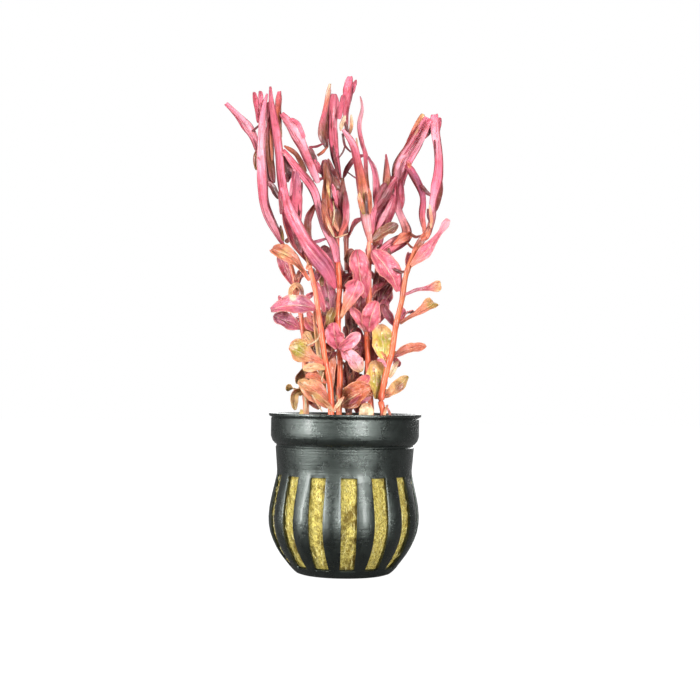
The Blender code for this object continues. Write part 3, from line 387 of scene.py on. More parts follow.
    (STRAP, 1.1, 0, (DARK, DARK, WINE), [(14.8, 132.4, 7.4), (15.8, 137, 6.6), (19.2, 142.6, 5.2)]),
    (STRAP, 1.2, 0, (WINE, DARK, PINK), [(25.2, 145, 2.4), (27.4, 147.8, 1.4), (27.5, 151.6, 0.6)]),
    (STRAP, 1.5, 0, (WINE, BROWN, WINE), [(29.4, 120.6, -7), (30.8, 125.4, -5.6), (31.5, 131, -4.6)]),
    (RIBBON, 1.9, 20, (PINK, ROSE, BLUSH, PINK), [
        (18.2, 131, 4.6), (20.9, 138, 2.4), (24.2, 144.4, 0.6), (27, 150.4, -0.8)]),
    (THREAD, 0.5, 0, (DEEP, PINK, DEEP), [
        (18.9, 139.6, 3.6), (21.3, 143.2, 2.6), (24.2, 148.2, 1), (26, 151.4, 0)]),
    (STRAP, 1.5, 0, (WINE, DARK, WINE), [(24.4, 129.6, -4.6), (26, 127.4, -6), (28.1, 125.6, -7)]),
    (OVAL, 1.5, 0, (RUST, RUST, PINK), [(20.4, 134, 1.4), (20.5, 135.8, 1.2), (19.6, 137.6, 2.2)]),
    (RIBBON, 1.5, 0, (PINK, DEEP, PINK), [(29.9, 147, -0.4), (30.4, 150, 0.2), (30.6, 152.4, 1)]),
    (THREAD, 0.6, 0, (WINE, DARK, WINE), [(28.9, 144.8, -2.2), (29.1, 141.6, -3), (29, 138.6, -4)]),
    (RIBBON, 1.7, 0, (PINK, ROSE, PINK), [(25.2, 146.8, 0.4), (26.4, 149.6, 0.4), (27.4, 151.8, 0.6)]),
    (OVAL, 3.2, 25, (BROWN, WINE, DEEP), [(10.4, 110.6, 5), (12.4, 116, 5.4), (13.6, 121.8, 5.6)]),
    (STRAP, 2.4, -20, (RUST, DEEP, MAUVE), [(9.2, 112, 3), (9.5, 116.6, 3.4), (10.8, 121.6, 3.6)]),
    (OVAL, 2.8, 20, (WINE, PINK, DEEP), [(11.4, 117.6, 4.4), (13.8, 121.2, 4.6), (15.2, 125.8, 5)]),
    (STRAP, 2.2, 0, (PINK, ROSE, PINK), [(8.2, 112.6, 1.6), (8.4, 118, 2), (9.6, 123, 2.4)]),
    (STRAP, 2.6, -15, (PINK, DEEP, PINK, PINK), [
        (14.6, 121, 7), (15.2, 126, 7.4), (15.4, 131, 7.6), (17.6, 136, 7)]),
    (STRAP, 2, 0, (PINK, ROSE, PINK), [(17.6, 120.6, 5.4), (18.1, 125.2, 5.8), (17.6, 131.4, 6.6)]),
    (STRAP, 1.2, 0, (WINE, DARK, WINE), [(14.4, 126.2, 4.2), (15, 127.2, 4), (15.2, 128.4, 4)]),
    (OVAL, 3.4, 20, (CORAL, SALMON, CORAL), [(15.4, 109.4, 1.2), (18.4, 111.6, 1.4), (21.8, 113.2, 1.8)]),
    (STRAP, 1.3, 0, (BROWN, DARK, BROWN), [(13.9, 108.2, 1.4), (14, 106, 1.6), (14.2, 104.2, 1.8)]),
    (OVAL, 4.6, 0, (DEEP, PINK, WINE), [
        (8.6, 110, 3.6), (10, 117, 4.4), (11.4, 124.6, 5.2), (12.4, 130.2, 6)]),
    (OVAL, 4.4, 0, (WINE, DEEP, PINK), [
        (11.8, 112, 4.2), (13.6, 119, 4.8), (14.8, 126.4, 5.6), (15.4, 131.6, 6.4)]),
    (STRAP, 2, 20, (PINK, BLUSH, PINK), [(9.6, 114.2, 1.8), (12.2, 119.2, 2.4), (14.9, 124.8, 3.2)]),
    (STRAP, 1.8, -20, (DEEP, WINE, DEEP), [(11.4, 109.2, 3), (11.6, 114.2, 3), (12.8, 119.8, 3.4)]),
], "low": [
    (STRAP, 2.2, 20, (DEEP, PINK, DEEP), [(-7.4, 86.4, -3), (-8.8, 91, -2.8), (-10.2, 96.8, -2.6)]),
    (OVAL, 3, 0, (BROWN, OLIVE, BROWN), [(-6.6, 81, -3.4), (-5.4, 84.4, -3.2), (-4.3, 88, -3)]),
    (OVAL, 3, -20, (DEEP, MAUVE, WINE), [(15.9, 82.2, -3), (14.4, 85.2, -1), (12, 89.2, 1)]),
    (OVAL, 3.2, -20, (WINE, PINK, DEEP), [(6.4, 80, -2.4), (4.4, 84.4, -3.6), (1.4, 88.4, -4.6)]),
    (OVAL, 4.2, 20, (PINK, ROSE, BLUSH), [(-2.4, 74, -3), (0.8, 76.4, -5.2), (4.6, 79.6, -6)]),
    (STRAP, 2.9, 0, (OLIVE, TAN, OLIVE), [
        (-13.2, 60.4, 3.4), (-16.4, 59, 1.4), (-17, 56, 0), (-16.6, 53.6, -0.6)]),
    (OVAL, 2.6, 20, (CORAL, RUST, CORAL), [(-6.4, 62.8, -9), (-9.6, 64.2, -10.4), (-13.4, 65.2, -11.4)]),
    (OVAL, 3, 20, (TAN, PEACH, TAN), [(-6.8, 67.6, -9), (-10.4, 67.9, -9.8), (-14.4, 67.2, -10.4)]),
    (OVAL, 2.9, -20, (OLIVE, BROWN, OLIVE), [(-12.6, 68, 3.4), (-14.8, 65.6, 2), (-16.4, 62.4, 0.6)]),
    (OVAL, 3.6, 20, (RUST, SALMON, TAN), [(-5.8, 57, -9.4), (-9.4, 61.2, -11), (-12.6, 63.4, -12.4)]),
    (OVAL, 3.4, -15, (RUST, TAN, RUST), [(-5.6, 54.8, -9.2), (-9.6, 57.6, -11.6), (-14.6, 60.2, -13)]),
    (DOME, 4.9, 0, (CREAM, CREAM, PEACH), [(7, 51, -7.6), (7, 53.6, -7.8), (7, 56.3, -7.4)]),
    (OVAL, 2.6, 0, (RUST, SALMON, SALMON), [(-0.2, 57.4, -4), (4.2, 59.2, -8.4), (9, 59.2, -12)]),
    (OVAL, 4.4, -20, (DEEP, SALMON, DEEP), [(1, 57.6, -2), (4.6, 61.4, -4.4), (8, 65.4, -6.4)]),
    (OVAL, 3.2, 20, (MAUVE, DEEP, BLUSH), [(1.2, 55, -6), (4.4, 57.4, -8.6), (8.6, 58.4, -10)]),
    (OVAL, 4.6, 0, (DARK, WINE, WINE), [(0.6, 53, 2.4), (1.4, 56.4, 2.8), (1.8, 60.6, 3.2)]),
    (OVAL, 3.4, 0, (MAUVE, WINE, MAUVE), [(3.8, 53, -3), (4, 55.6, -3.6), (3.4, 58.4, -4.2)]),
    (OVAL, 3.8, 0, (WINE, WINE, DARK), [(6.6, 73, 4), (3.6, 75.2, 3.4), (0.4, 74.4, 3)]),
    (OVAL, 2.6, 0, (WINE, MAUVE, WINE), [(9.2, 70.4, 3), (9.4, 74.4, 3.2), (8.6, 78.4, 3.4)]),
    (OVAL, 4.2, 0, (DARK, DARK, WINE), [(1.4, 78.8, 3.4), (2, 82.2, 3.8), (1.2, 86.8, 4.2)]),
    (OVAL, 3.8, 0, (WINE, DARK, MAUVE), [(-3.6, 86.4, 2), (-5.4, 90.4, 2.6), (-6.6, 95.8, 3)]),
    (OVAL, 4.8, 0, (WINE, MAUVE, WINE), [(-4.2, 99, 3), (-6.4, 103.4, 3.6), (-8, 108.8, 4.2)]),
    (STRAP, 2.2, 0, (DARK, DARK, WINE), [(-3.7, 56, 1.4), (-3.6, 62, 1.4), (-3.4, 69.4, 1.4)]),
    (STRAP, 2.4, 0, (WINE, DARK, WINE), [(1.4, 61, 2), (1.6, 65, 2.2), (0.6, 70, 2.4)]),
    (STRAP, 2.2, 0, (DARK, WINE, DARK), [(9, 91.4, 3.4), (9.6, 95.4, 3.6), (10, 99.8, 3.8)]),
    (OVAL, 4.4, 15, (MAUVE, WINE, MAUVE), [(11, 89.4, 5), (12.4, 93, 5.6), (14.4, 96.8, 6)]),
    (STRAP, 3, 0, (DARK, BROWN, WINE), [(0, 103, 3), (0.8, 106, 3.2), (2, 107.6, 3.4)]),
    (STRAP, 1.8, 0, (RUST, TAN, PEACH, BROWN, DARK), [
        (-18.8, 90.6, 3.4), (-18.6, 93.8, 3), (-16.8, 95.4, 2.6), (-15.2, 94, 2.2), (-14.7, 91.2, 2)]),
    (OVAL, 2.4, 0, (PEACH, SALMON, PEACH), [(-17.4, 90.4, 4), (-16.9, 92.6, 4), (-16.4, 95.4, 4)]),
    (OVAL, 1.9, 20, (MAUVE, DEEP, MAUVE), [(-14.4, 90.4, -4), (-12.8, 91.6, -4.2), (-11.3, 93, -4.4)]),
    (STRAP, 1.6, 0, (MAUVE, DEEP), [(-21, 88.4, -9.4), (-21.8, 90, -9.2), (-22.7, 91.8, -9)]),
    (OVAL, 3.8, 20, (PEACH, TAN, RUST), [(-14, 79.4, 2.4), (-12.6, 77.6, -1), (-10.4, 75.4, -3.6)]),
    (OVAL, 3.2, 0, (SALMON, PINK, DEEP), [(-13.8, 84.6, 3.4), (-12.4, 82.2, 1), (-10.4, 80, -2)]),
    (STRAP, 2.2, 0, (DEEP, SALMON, WINE), [(-17, 95.2, 5.4), (-16.6, 97.6, 4.6), (-15.4, 99.6, 4)]),
    (STRAP, 1.7, 0, (TAN, CREAM, BROWN), [(14.6, 64.8, -6.8), (16, 67.6, -6.4), (17.5, 70.6, -6.2)]),
    (STRAP, 1.2, 0, (ROSE, BLUSH), [(10.4, 70.7, -7.6), (12.2, 70.4, -7.6), (13.6, 68.2, -7.6)]),
    (STRAP, 1.9, 0, (BROWN, OLIVE, BROWN), [(-8.2, 95, -2.6), (-8.9, 99, -2.4), (-9.9, 103, -2)]),
], "inner": [
    (OVAL, 2.4, 20, (SALMON, PEACH, TAN), [
        (-13.6, 100.6, -6.4), (-12.4, 103.2, -6.6), (-13.2, 106.4, -6.8)]),
    (OVAL, 2.6, 0, (WINE, PINK, WINE), [(15.6, 71.6, -4.4), (16.8, 70.2, -2.4), (17.6, 68.4, -0.4)]),
    (OVAL, 6, 0, (DARK, WINE, DARK), [(0.6, 58, 3), (1.6, 64, 3.4), (1.6, 71, 3.8)]),
    (OVAL, 5.2, 0, (BROWN, DARK, WINE), [(3.4, 55.4, 2.6), (4.4, 60.4, 3), (4.8, 66, 3.4)]),
    (STRAP, 3.2, 0, (BROWN, DARK, BROWN), [(-3.6, 54, 2), (-3.7, 61, 2.2), (-3.6, 70, 2.4)]),
    (OVAL, 5.4, 0, (WINE, MAUVE, DEEP), [(-4.6, 84.6, 1.8), (-6, 91.6, 2.2), (-7.4, 99.4, 2.6)]),
    (OVAL, 5, 0, (MAUVE, WINE, DARK), [(-4.4, 74.4, 2.4), (-5.2, 80.2, 2.6), (-6.4, 86.6, 2.8)]),
    (OVAL, 5.6, 0, (WINE, DEEP, WINE), [(1.6, 86.6, 3), (1.4, 92.4, 3.4), (0.8, 99.6, 3.8)]),
    (OVAL, 4.4, 0, (DARK, WINE, MAUVE), [(4.4, 83, 2.6), (4.8, 88, 2.8), (4.4, 93.6, 3)]),
    (OVAL, 5, 0, (WINE, MAUVE, DEEP), [(4.4, 71.8, 3.4), (4, 76.4, 3.8), (3, 81.6, 4.2)]),
    (OVAL, 4.2, 20, (PINK, MAUVE, DEEP), [(10.8, 83, 3), (11.6, 87, 3.4), (13.2, 91, 4)]),
    (OVAL, 5.4, 0, (MAUVE, WINE, DEEP), [(11, 91.4, 6), (12.4, 96, 6.6), (13.6, 101.6, 7.2)]),
    (OVAL, 3.4, 0, (DEEP, WINE, MAUVE), [(8.8, 68.8, 2.2), (9.6, 72.6, 2.6), (9, 78, 3)]),
    (OVAL, 4, -15, (RUST, OLIVE, BROWN), [(-12.4, 82.6, 3), (-11.8, 78.4, 1.4), (-10.2, 73, -1)]),
    (OVAL, 2.6, 0, (WINE, DARK, WINE), [(-10, 76.8, -3.4), (-9.6, 74.4, -3.6), (-9.2, 71.6, -3.8)]),
    (OVAL, 3.6, 20, (DEEP, SALMON, DEEP), [(-13, 86.4, 3), (-11.2, 84, 0.6), (-9.6, 80.8, -2.4)]),
    (OVAL, 4.4, 0, (BROWN, WINE, BROWN), [(-8.6, 54, -6), (-10.4, 57, -5.4), (-12.2, 61, -5)]),
    (OVAL, 4.4, 0, (TAN, RUST, BROWN), [(-8, 60.6, -6.4), (-10.4, 64, -6.8), (-12.6, 68.4, -7.2)]),
    (STRAP, 2.2, 0, (TAN, OLIVE, TAN, SALMON), [
        (-6.8, 56, -5.8), (-7.8, 66, -5.8), (-9.4, 77, -5.2), (-10.8, 88, -4.6)]),
    (OVAL, 4.6, 0, (BROWN, RUST, BROWN), [(-4.8, 60, 0.6), (-5.4, 68, 1), (-5.6, 76.8, 1.4)]),
    (OVAL, 4.2, 0, (RUST, BROWN, WINE), [(-8.4, 66, 0.8), (-8.9, 72, 1.2), (-8.4, 79, 1.6)]),
    (OVAL, 3.6, 0, (MAUVE, WINE, BROWN), [(-6.4, 77, 0.4), (-7.4, 82, 0.8), (-7.6, 88, 1.2)]),
    (STRAP, 1.5, 15, (CREAM, PEACH, RUST), [(-4.2, 53, -8.6), (-5.8, 55.4, -9.6), (-8.6, 57.6, -10.6)]),
    (STRAP, 1.3, -15, (PEACH, CREAM, SALMON), [(-4, 53.2, -8.6), (-2.6, 55.4, -9), (-0.4, 58.4, -9.2)]),
    (THREAD, 0.8, 0, (BROWN, WINE, RUST), [
        (-1, 70, 1.2), (0.6, 66.4, 0.6), (1.2, 62.6, 1), (0.2, 58.2, 0.4)]),
    (THREAD, 0.7, 0, (RUST, BROWN, RUST), [
        (1.8, 69.4, 0.4), (2.6, 65.8, 0.2), (1.6, 62.4, 0.6), (3.4, 59.4, 0.2)]),
    (THREAD, 0.7, 0, (WINE, RUST, WINE), [
        (3.4, 67, 1), (1.4, 65.2, 0.8), (2.4, 61.6, 0.8), (0.8, 59.6, 1)]),
    (THREAD, 0.6, 0, (SALMON, RUST, BROWN), [
        (-0.6, 57.8, -1.6), (1, 56.2, -2.6), (2.4, 54.6, -3), (4, 54.4, -3.4)]),
    (THREAD, 0.6, 0, (TAN, PEACH, TAN), [(-3, 58.8, -4.4), (-1.8, 56, -4.8), (-2.2, 53.4, -5)]),
    (THREAD, 0.7, 0, (PEACH, CREAM, PEACH), [(-13.5, 50, -0.6), (-13.2, 55.6, -0.8), (-13.8, 60.2, 1)]),
    (THREAD, 0.6, 0, (SALMON, PEACH, SALMON), [(-12.2, 50, -0.6), (-12.4, 54, -0.8), (-11.8, 57.6, 0.4)]),
    (THREAD, 1, 0, (TAN, PEACH, RUST), [(13, 50, -8), (13.3, 53.6, -8.2), (14.2, 55.8, -8.4)]),
    (THREAD, 0.9, 0, (DEEP, SALMON, DEEP), [(15.2, 50, -7), (14.8, 53, -7.2), (13.6, 55.6, -7.4)]),
    (THREAD, 0.5, 0, (CREAM, CREAM, CREAM), [
        (-12.8, 75.3, -12.6), (-10.8, 76.2, -11.6), (-9.3, 77.6, -10.4), (-8.7, 79.6, -8.8)]),
    (THREAD, 0.5, 0, (CREAM, PEACH, CREAM), [
        (-11.2, 58.8, -13.6), (-9.4, 55.8, -13.2), (-7.6, 53.2, -12.4)]),
    (THREAD, 0.5, 0, (PEACH, CREAM, PEACH), [(-7.4, 66.4, -9.6), (-7.9, 63.8, -9.9), (-7.5, 61.4, -10)]),
    (THREAD, 1.7, 0, (YELLOW, YELLOW), [(-14.6, 48, -2), (-14.6, 51, -2), (-14.6, 53.9, -2)]),
]}
# Leaves that point back or sideways, by stem: height, bearing in degrees (0 is right, 90 is
# away), length, width, rise of the tip, colours
# The DARK and WINE ones among them are painted shade, seen through the gaps between the stems.
FOLIAGE = {"stem_left": [
    (58, 130, 10, 4.6, 2, (OLIVE, TAN, OLIVE)), (66, 70, 11, 5, 3, (RUST, SALMON, RUST)),
    (80, 110, 12, 5.2, 4, (DEEP, PINK, DEEP)), (95, 60, 11, 4.6, 5, (WINE, DEEP, MAUVE)),
], "stem_front_left": [
    (69, 75, 11, 5, 3, (BROWN, WINE, WINE)), (80, 100, 11, 5, 4, (WINE, DEEP, WINE)),
    (96, 60, 10, 4.4, 5, (WINE, MAUVE, WINE)),
], "stem_centre": [
    (60, 95, 11, 5, 2, (WINE, DARK, WINE)), (73, 70, 12, 5.2, 3, (WINE, WINE, MAUVE)),
    (84, 110, 12, 5, 4, (WINE, DEEP, WINE)), (94, 60, 11, 4.8, 5, (DARK, WINE, WINE)),
    (111, 95, 11, 3.6, 7, (WINE, DEEP, PINK)),
], "stem_right": [
    (66, 60, 12, 5, 3, (OLIVE, RUST, TAN)), (79, 110, 12, 5, 4, (WINE, MAUVE, WINE)),
    (91, 40, 11, 5, 5, (WINE, DEEP, WINE)), (103, 80, 12, 4.2, 6, (WINE, PINK, DEEP)),
], "stem_far_right": [
    (58, 65, 11, 4.8, 2, (OLIVE, TAN, OLIVE)), (70.5, 110, 11, 4.8, 3, (SALMON, RUST, SALMON)),
    (82.5, 60, 12, 4.8, 4, (DEEP, PINK, DEEP)), (92.5, 100, 11, 4.6, 5, (DEEP, MAUVE, DEEP)),
    (100.5, 70, 11, 4.2, 6, (WINE, PINK, DEEP)),
], "stem_back_right": [
    (58, 60, 9, 5, 1, (OLIVE, TAN, YELLOW)), (70, 20, 11, 5, 2, (SALMON, TAN, OLIVE)),
    (83, 110, 8, 5.2, 3, (DEEP, SALMON, PINK)), (97, 45, 9, 5, 5, (DEEP, PINK, ROSE)),
    (97, 150, 10, 4.6, 4, (WINE, DEEP, DEEP)), (110, 80, 8, 4.2, 8, (PINK, ROSE, PINK)),
], "stem_back_centre": [
    (64, 120, 11, 5.2, 1, (TAN, OLIVE, TAN)), (77, 80, 10, 5.2, 3, (SALMON, PINK, SALMON)),
    (87, 160, 11, 5, 3, (DEEP, PINK, DEEP)), (97, 60, 9, 4.8, 5, (DEEP, ROSE, PINK)),
    (111, 110, 9, 4, 8, (PINK, ROSE, BLUSH)), (111, 30, 9, 3.8, 7, (DEEP, PINK, DEEP)),
]}
# Straps with a fold along each edge: the colours of the left fold and the right one. The DARK
# # and WINE folds are painted shade, for folds that lie in the shade behind their straps.
EDGES = {
    "strap_left_arrow": (PINK, DEEP), "strap_left_outer": (DEEP, BLUSH),
    "strap_left_tall": (DEEP, SALMON), "strap_left_tip": (RUST, BROWN),
    "strap_left_inner": (BLUSH, DARK), "ribbon_left_broad": (PINK, ROSE),
    "ribbon_left_salmon": (SALMON, WINE), "strap_middle_left": (DEEP, MAUVE),
    "strap_cross_left": (WINE, BROWN), "strap_centre": (DARK, DEEP),
    "strap_centre_tan": (TAN, BROWN), "strap_top_notched": (PINK, MAUVE),
    "strap_centre_right": (PINK, SALMON), "strap_mauve": (BROWN, BLUSH),
    "strap_short_right": (BROWN, DEEP), "strap_right_inner": (RUST, ROSE),
    "strap_right_outer": (MAUVE, DEEP), "strap_right_cross": (WINE, MAUVE),
    "strap_crimson": (DEEP, WINE), "blade_right_folded": (ROSE, DEEP),
}
# How far the base of a strap runs on past its CAD leaf, where it isn't BASE_REACH
REACHES = {
    "strap_left_arrow": 3.0, "strap_left_outer": 2.6, "strap_left_tall": 2.0,
    "strap_left_tip": 2.0, "strap_left_inner": 2.0, "strap_middle_left": 3.0,
    "ribbon_left_salmon": 2.4, "strap_centre": 2.2, "strap_centre_tan": 1.6,
    "strap_top_notched": 2.0, "strap_thin_pale": 3.0, "strap_centre_right": 2.4,
    "strap_mauve": 3.0, "strap_short_right": 3.0, "strap_right_inner": 3.0,
    "strap_right_outer": 2.4, "strap_right_cross": 2.4, "strap_bridge": 1.6,
}
# Lights: name, azimuth (0 is beside the camera, + to its right), height, distance, width,
# height of the lamp, power in watts, height it is aimed at. All lengths in metres.
LIGHTS = [
    ("left_core", -57, 0.17, 0.9, 0.14, 0.34, 7.2, 0.17),
    ("left_wide", -74, 0.17, 0.9, 0.8, 0.34, 2.6, 0.17),
    ("right_core", 24, 0.17, 0.9, 0.26, 0.34, 8, 0.17),
    ("right_wide", 24, 0.17, 0.95, 0.8, 0.34, 2.6, 0.17),
    ("front_key", -24, 0.9, 0.9, 0.1, 0.1, 2.8, 0.08),
    ("back_fill", 165, 0.5, 1, 1, 0.7, 12, 0.08),
]


def linear(colour):
    """A colour as seen, out of 255, as the shader's own linear values."""
    return [((c / 255 + 0.055) / 1.055) ** 2.4 for c in colour] + [1.0]


def pigment(colour):
    """A colour as seen, as a vector that can be blended."""
    return Vector(linear(colour)[:3])


def feed(socket, value):
    """Link a Number to a socket, or give the socket a plain value."""
    if isinstance(value, Number):
        socket.id_data.links.new(value.socket, socket)
    else:
        socket.default_value = value


def fill(node, **values):
    """Feed a node's sockets, named with _ for a space."""
    for key, value in values.items():
        feed(node.inputs[key.replace("_", " ")], value)


class Number:
    """A shader socket that adds a Math node for each sum it is used in."""

    def __init__(self, finish, socket):
        self.finish = finish
        self.socket = socket

    def __add__(self, other):
        return self.finish.math("ADD", self, other)

    def __sub__(self, other):
        return self.finish.math("SUBTRACT", self, other)

    def __rsub__(self, other):
        return self.finish.math("SUBTRACT", other, self)

    def __mul__(self, other):
        return self.finish.math("MULTIPLY", self, other)

    def __abs__(self):
        return self.finish.math("ABSOLUTE", self)

    __radd__ = __add__


class Finish:
    """A material and the nodes that make it."""

    def __init__(self, name):
        self.material = bpy.data.materials.new(name)
        self.material.use_nodes = True
        self.tree = self.material.node_tree
        self.shader = self.tree.nodes["Principled BSDF"]

    def node(self, kind, values=(), output=0, **settings):
        """Add a node with its settings, and feed its sockets by order or by key."""
        node = self.tree.nodes.new(kind)
        for key, value in settings.items():
            setattr(node, key, value)
        for key, value in values.items() if isinstance(values, dict) else enumerate(values):
            feed(node.inputs[key], value)
        return Number(self, node.outputs[output])

    def math(self, operation, *values):
        return self.node("ShaderNodeMath", values, operation=operation)

    def tint(self, output):
        """What a mesh stores at each point: its Color, or the piece's own number as Alpha."""
        return self.node("ShaderNodeAttribute", output=output, attribute_name="tint")

    def place(self):
        """Object coordinates."""
        return self.node("ShaderNodeTexCoord", output="Object")

    def stretched(self, scale):
        """Object coordinates, scaled differently along each axis."""
        return self.node("ShaderNodeMapping", {"Vector": self.place(), "Scale": scale})

    def noise(self, scale, detail=2, rough=0.5, vector=None, warp=0):
        return self.node("ShaderNodeTexNoise", {
            "Scale": scale, "Detail": detail, "Roughness": rough, "Distortion": warp,
            "Vector": vector or self.place()})

    def steps(self, value, low, high):
        """0 below low, 1 above high, and smooth between."""
        values = {"Value": value, "From Min": low, "From Max": high}
        return self.node("ShaderNodeMapRange", values, interpolation_type="SMOOTHSTEP")

    def mix(self, factor, a, b, blend="MIX"):
        values = {0: factor, 6: a, 7: b}  # a Mix node has sockets for colours from 6 on
        return self.node("ShaderNodeMix", values, 2, data_type="RGBA", blend_type=blend)

    def painted(self, colour, *layers):
        """A colour under layers of others, each given as (how much of it, colour)."""
        for factor, layer in layers:
            colour = self.mix(factor, colour, linear(layer))
        return colour

    def finished(self, height, strength, distance, **values):
        """The material, with the shader's values and a relief whose depth is in metres."""
        bump = {"Height": height, "Strength": strength, "Distance": distance}
        fill(self.shader, Normal=self.node("ShaderNodeBump", bump), **values)
        return self.material


def leaf_finish(name, crease_scale, vein_strength, edge, edge_strength):
    """Thin leaf tissue: a pale midrib, side veins, blotches and long wet creases.

    Painted shade darkens the crease grooves, painted highlights pale the crease ridges and some
    blotches, cream glints are painted highlights, and the edge tone given is painted light or shade.
    """
    f = Finish(name)
    tint = f.tint("Color")
    uv = f.node("ShaderNodeUVMap")
    along, across = (f.node("ShaderNodeSeparateXYZ", [uv], axis) for axis in "XY")
    off_rib = abs(across - 0.5)
    rib = 1 - f.steps(off_rib, 0.008, 0.035)
    wave = along * 13 + off_rib * 11 + f.noise(1500) * 1.4
    veins = f.steps(f.math("SINE", wave * 6.2832), 0.8, 1)
    creased = [along * crease_scale, across * 3.4, f.tint("Alpha") * 37]
    crease = f.noise(1.6, 4, 0.6, f.node("ShaderNodeCombineXYZ", creased))
    # the raised crease ridges, which take painted highlights
    lit_crease_ridges = f.steps(crease, 0.44, 0.34)
    blotches = f.noise(420, 3, 0.6)
    grain = f.noise(2600)
    painted_glints = f.steps(f.noise(3400, 1), 0.66, 0.74)
    deeper = f.mix(1, tint, linear((205, 130, 120)), "MULTIPLY")
    colour = f.painted(
        f.mix(f.steps(blotches, 0.5, 0.68) * 0.5, tint, deeper),
        # painted highlight: pale blush blotches (the darker blotches above are the leaf's own mottling)
        (f.steps(blotches, 0.46, 0.25) * 0.3, BLUSH),
        # painted shade: the crease grooves darkened to wine
        (f.steps(crease, 0.57, 0.66) * 0.7, WINE),
        # painted highlight: the crease ridges paled to blush
        (lit_crease_ridges * 0.28, BLUSH),
        (veins * vein_strength, CREAM),
        (rib * vein_strength * 1.3, CREAM),
        (f.steps(grain, 0.5, 0.75) * 0.2, WINE),
        # painted light or shade along the margins, as the caller gives it
        (f.steps(off_rib, 0.38, 0.49) * edge_strength, edge),
        # painted highlight: cream glints on the lit ridges
        (painted_glints * lit_crease_ridges * 0.6, CREAM),
    )
    height = crease * -1.6 + rib * -0.3 + veins * vein_strength * -0.4 + grain * 0.16
    return f.finished(
        height, 0.9, 0.0004, Base_Color=colour, Roughness=0.32 + grain * 0.14, Coat_Weight=0.3,
        Coat_Roughness=0.2, Specular_IOR_Level=0.5, Subsurface_Weight=0.1, Subsurface_Scale=0.0005)


def stem_finish():
    """Moist stem skin with long streaks and brown spots."""
    f = Finish("stem_skin")
    streaks = f.noise(1, 3, vector=f.stretched((2600, 2600, 160)))
    spots = f.noise(900, 3)
    colour = f.painted(
        f.tint("Color"),
        (f.steps(streaks, 0.52, 0.68) * 0.65, RUST),
        # pale peach streaks: the stem's own streaks, made paler as painted highlight
        (f.steps(streaks, 0.45, 0.32) * 0.36, PEACH),
        (f.steps(spots, 0.58, 0.72) * 0.45, BROWN),
    )
    return f.finished(
        streaks + spots * 0.4, 0.5, 0.0002, Base_Color=colour, Roughness=0.34 + spots * 0.15,
        Coat_Weight=0.2, Coat_Roughness=0.15, Subsurface_Weight=0.15, Subsurface_Scale=0.0008)


def pot_finish():
    """Black moulded plastic, hazy, with drag lines around it and a little dust."""
    f = Finish("black_moulded_plastic")
    drag = f.noise(1, 4, 0.6, f.stretched((60, 60, 2200)))
    haze = f.noise(190, 5, 0.7)
    dust = f.noise(5200)
    frost = f.noise(3000, 3, 0.7)
    colour = f.painted(
        linear((9, 12, 11)),
        (f.steps(haze, 0.45, 0.75) * 0.6, (26, 31, 29)),
        (f.steps(dust, 0.66, 0.78) * 0.25, (110, 116, 112)),
    )
    roughness = 0.2 + f.steps(haze, 0.35, 0.7) * 0.13 + drag * 0.08
    return f.finished(
        drag * 1.1 + haze * 1.2 + frost * 0.8 + dust * 0.15, 0.7, 0.00016,
        Base_Color=colour, Roughness=roughness, Specular_IOR_Level=0.85,
        Specular_Tint=linear((240, 255, 246)), Coat_Weight=0.25, Coat_Roughness=0.2)


def wool_finish():
    """Yellow mineral wool: bright fibres, olive clumps and brown stains."""
    f = Finish("yellow_rockwool")
    clumps = f.noise(330, 4, 0.7, warp=0.4)
    fibres = f.noise(1, 5, 0.8, f.stretched((900, 900, 500)), 2.4)
    tangle = f.noise(430, 5, 0.75, warp=2.5)
    colour = f.painted(
        linear((150, 122, 40)),
        (f.steps(fibres, 0.38, 0.6), (255, 240, 138)),
        (f.steps(clumps, 0.5, 0.66) * 0.5, (176, 150, 52)),
        (f.steps(tangle, 0.55, 0.65) * 0.48, (112, 88, 30)),
        (f.steps(f.noise(140, 3, 0.6), 0.52, 0.64) * 0.75, (96, 72, 28)),
    )
    return f.finished(
        fibres + clumps + tangle, 1, 0.0007, Base_Color=colour, Roughness=0.95,
        Specular_IOR_Level=0.15)


def fibre_finish():
    """Pale yellow strands."""
    f = Finish("rockwool_fibre")
    shade = f.steps(f.noise(900), 0.35, 0.65)
    colour = f.mix(shade, linear((190, 165, 72)), linear((255, 248, 178)))
    fill(f.shader, Base_Color=colour, Roughness=0.6, Specular_IOR_Level=0.3)
    return f.material


def show_camera(tree, lit, seen, end):
    """Show the camera one shader, and let the other one light the scene."""
    rays = tree.nodes.new("ShaderNodeLightPath")
    mix = tree.nodes.new("ShaderNodeMixShader")
    tree.links.new(rays.outputs["Is Camera Ray"], mix.inputs[0])
    tree.links.new(lit.outputs[0], mix.inputs[1])
    tree.links.new(seen.outputs[0], mix.inputs[2])
    tree.links.new(mix.outputs[0], tree.nodes[end].inputs["Surface"])


def floor_finish():
    """White where the camera sees it, and a dim grey that throws little light back."""
    f = Finish("pale_floor")
    fill(f.shader, Base_Color=linear((120, 120, 120)), Roughness=0.9, Specular_IOR_Level=0.1)
    bright = f.tree.nodes.new("ShaderNodeBsdfPrincipled")
    fill(bright, Base_Color=linear((90, 90, 90)), Roughness=1, Specular_IOR_Level=0,
         Emission_Color=(1, 1, 1, 1), Emission_Strength=BACKDROP_WHITE)
    show_camera(f.tree, f.shader, bright, "Material Output")
    return f.material


def deselect():
    bpy.ops.object.select_all(action="DESELECT")


def pick(obj):
    deselect()
    obj.select_set(True)
    bpy.context.view_layer.objects.active = obj


def added(name, data):
    """A new object in the scene."""
    obj = bpy.data.objects.new(name, data)
    bpy.context.scene.collection.objects.link(obj)
    return obj


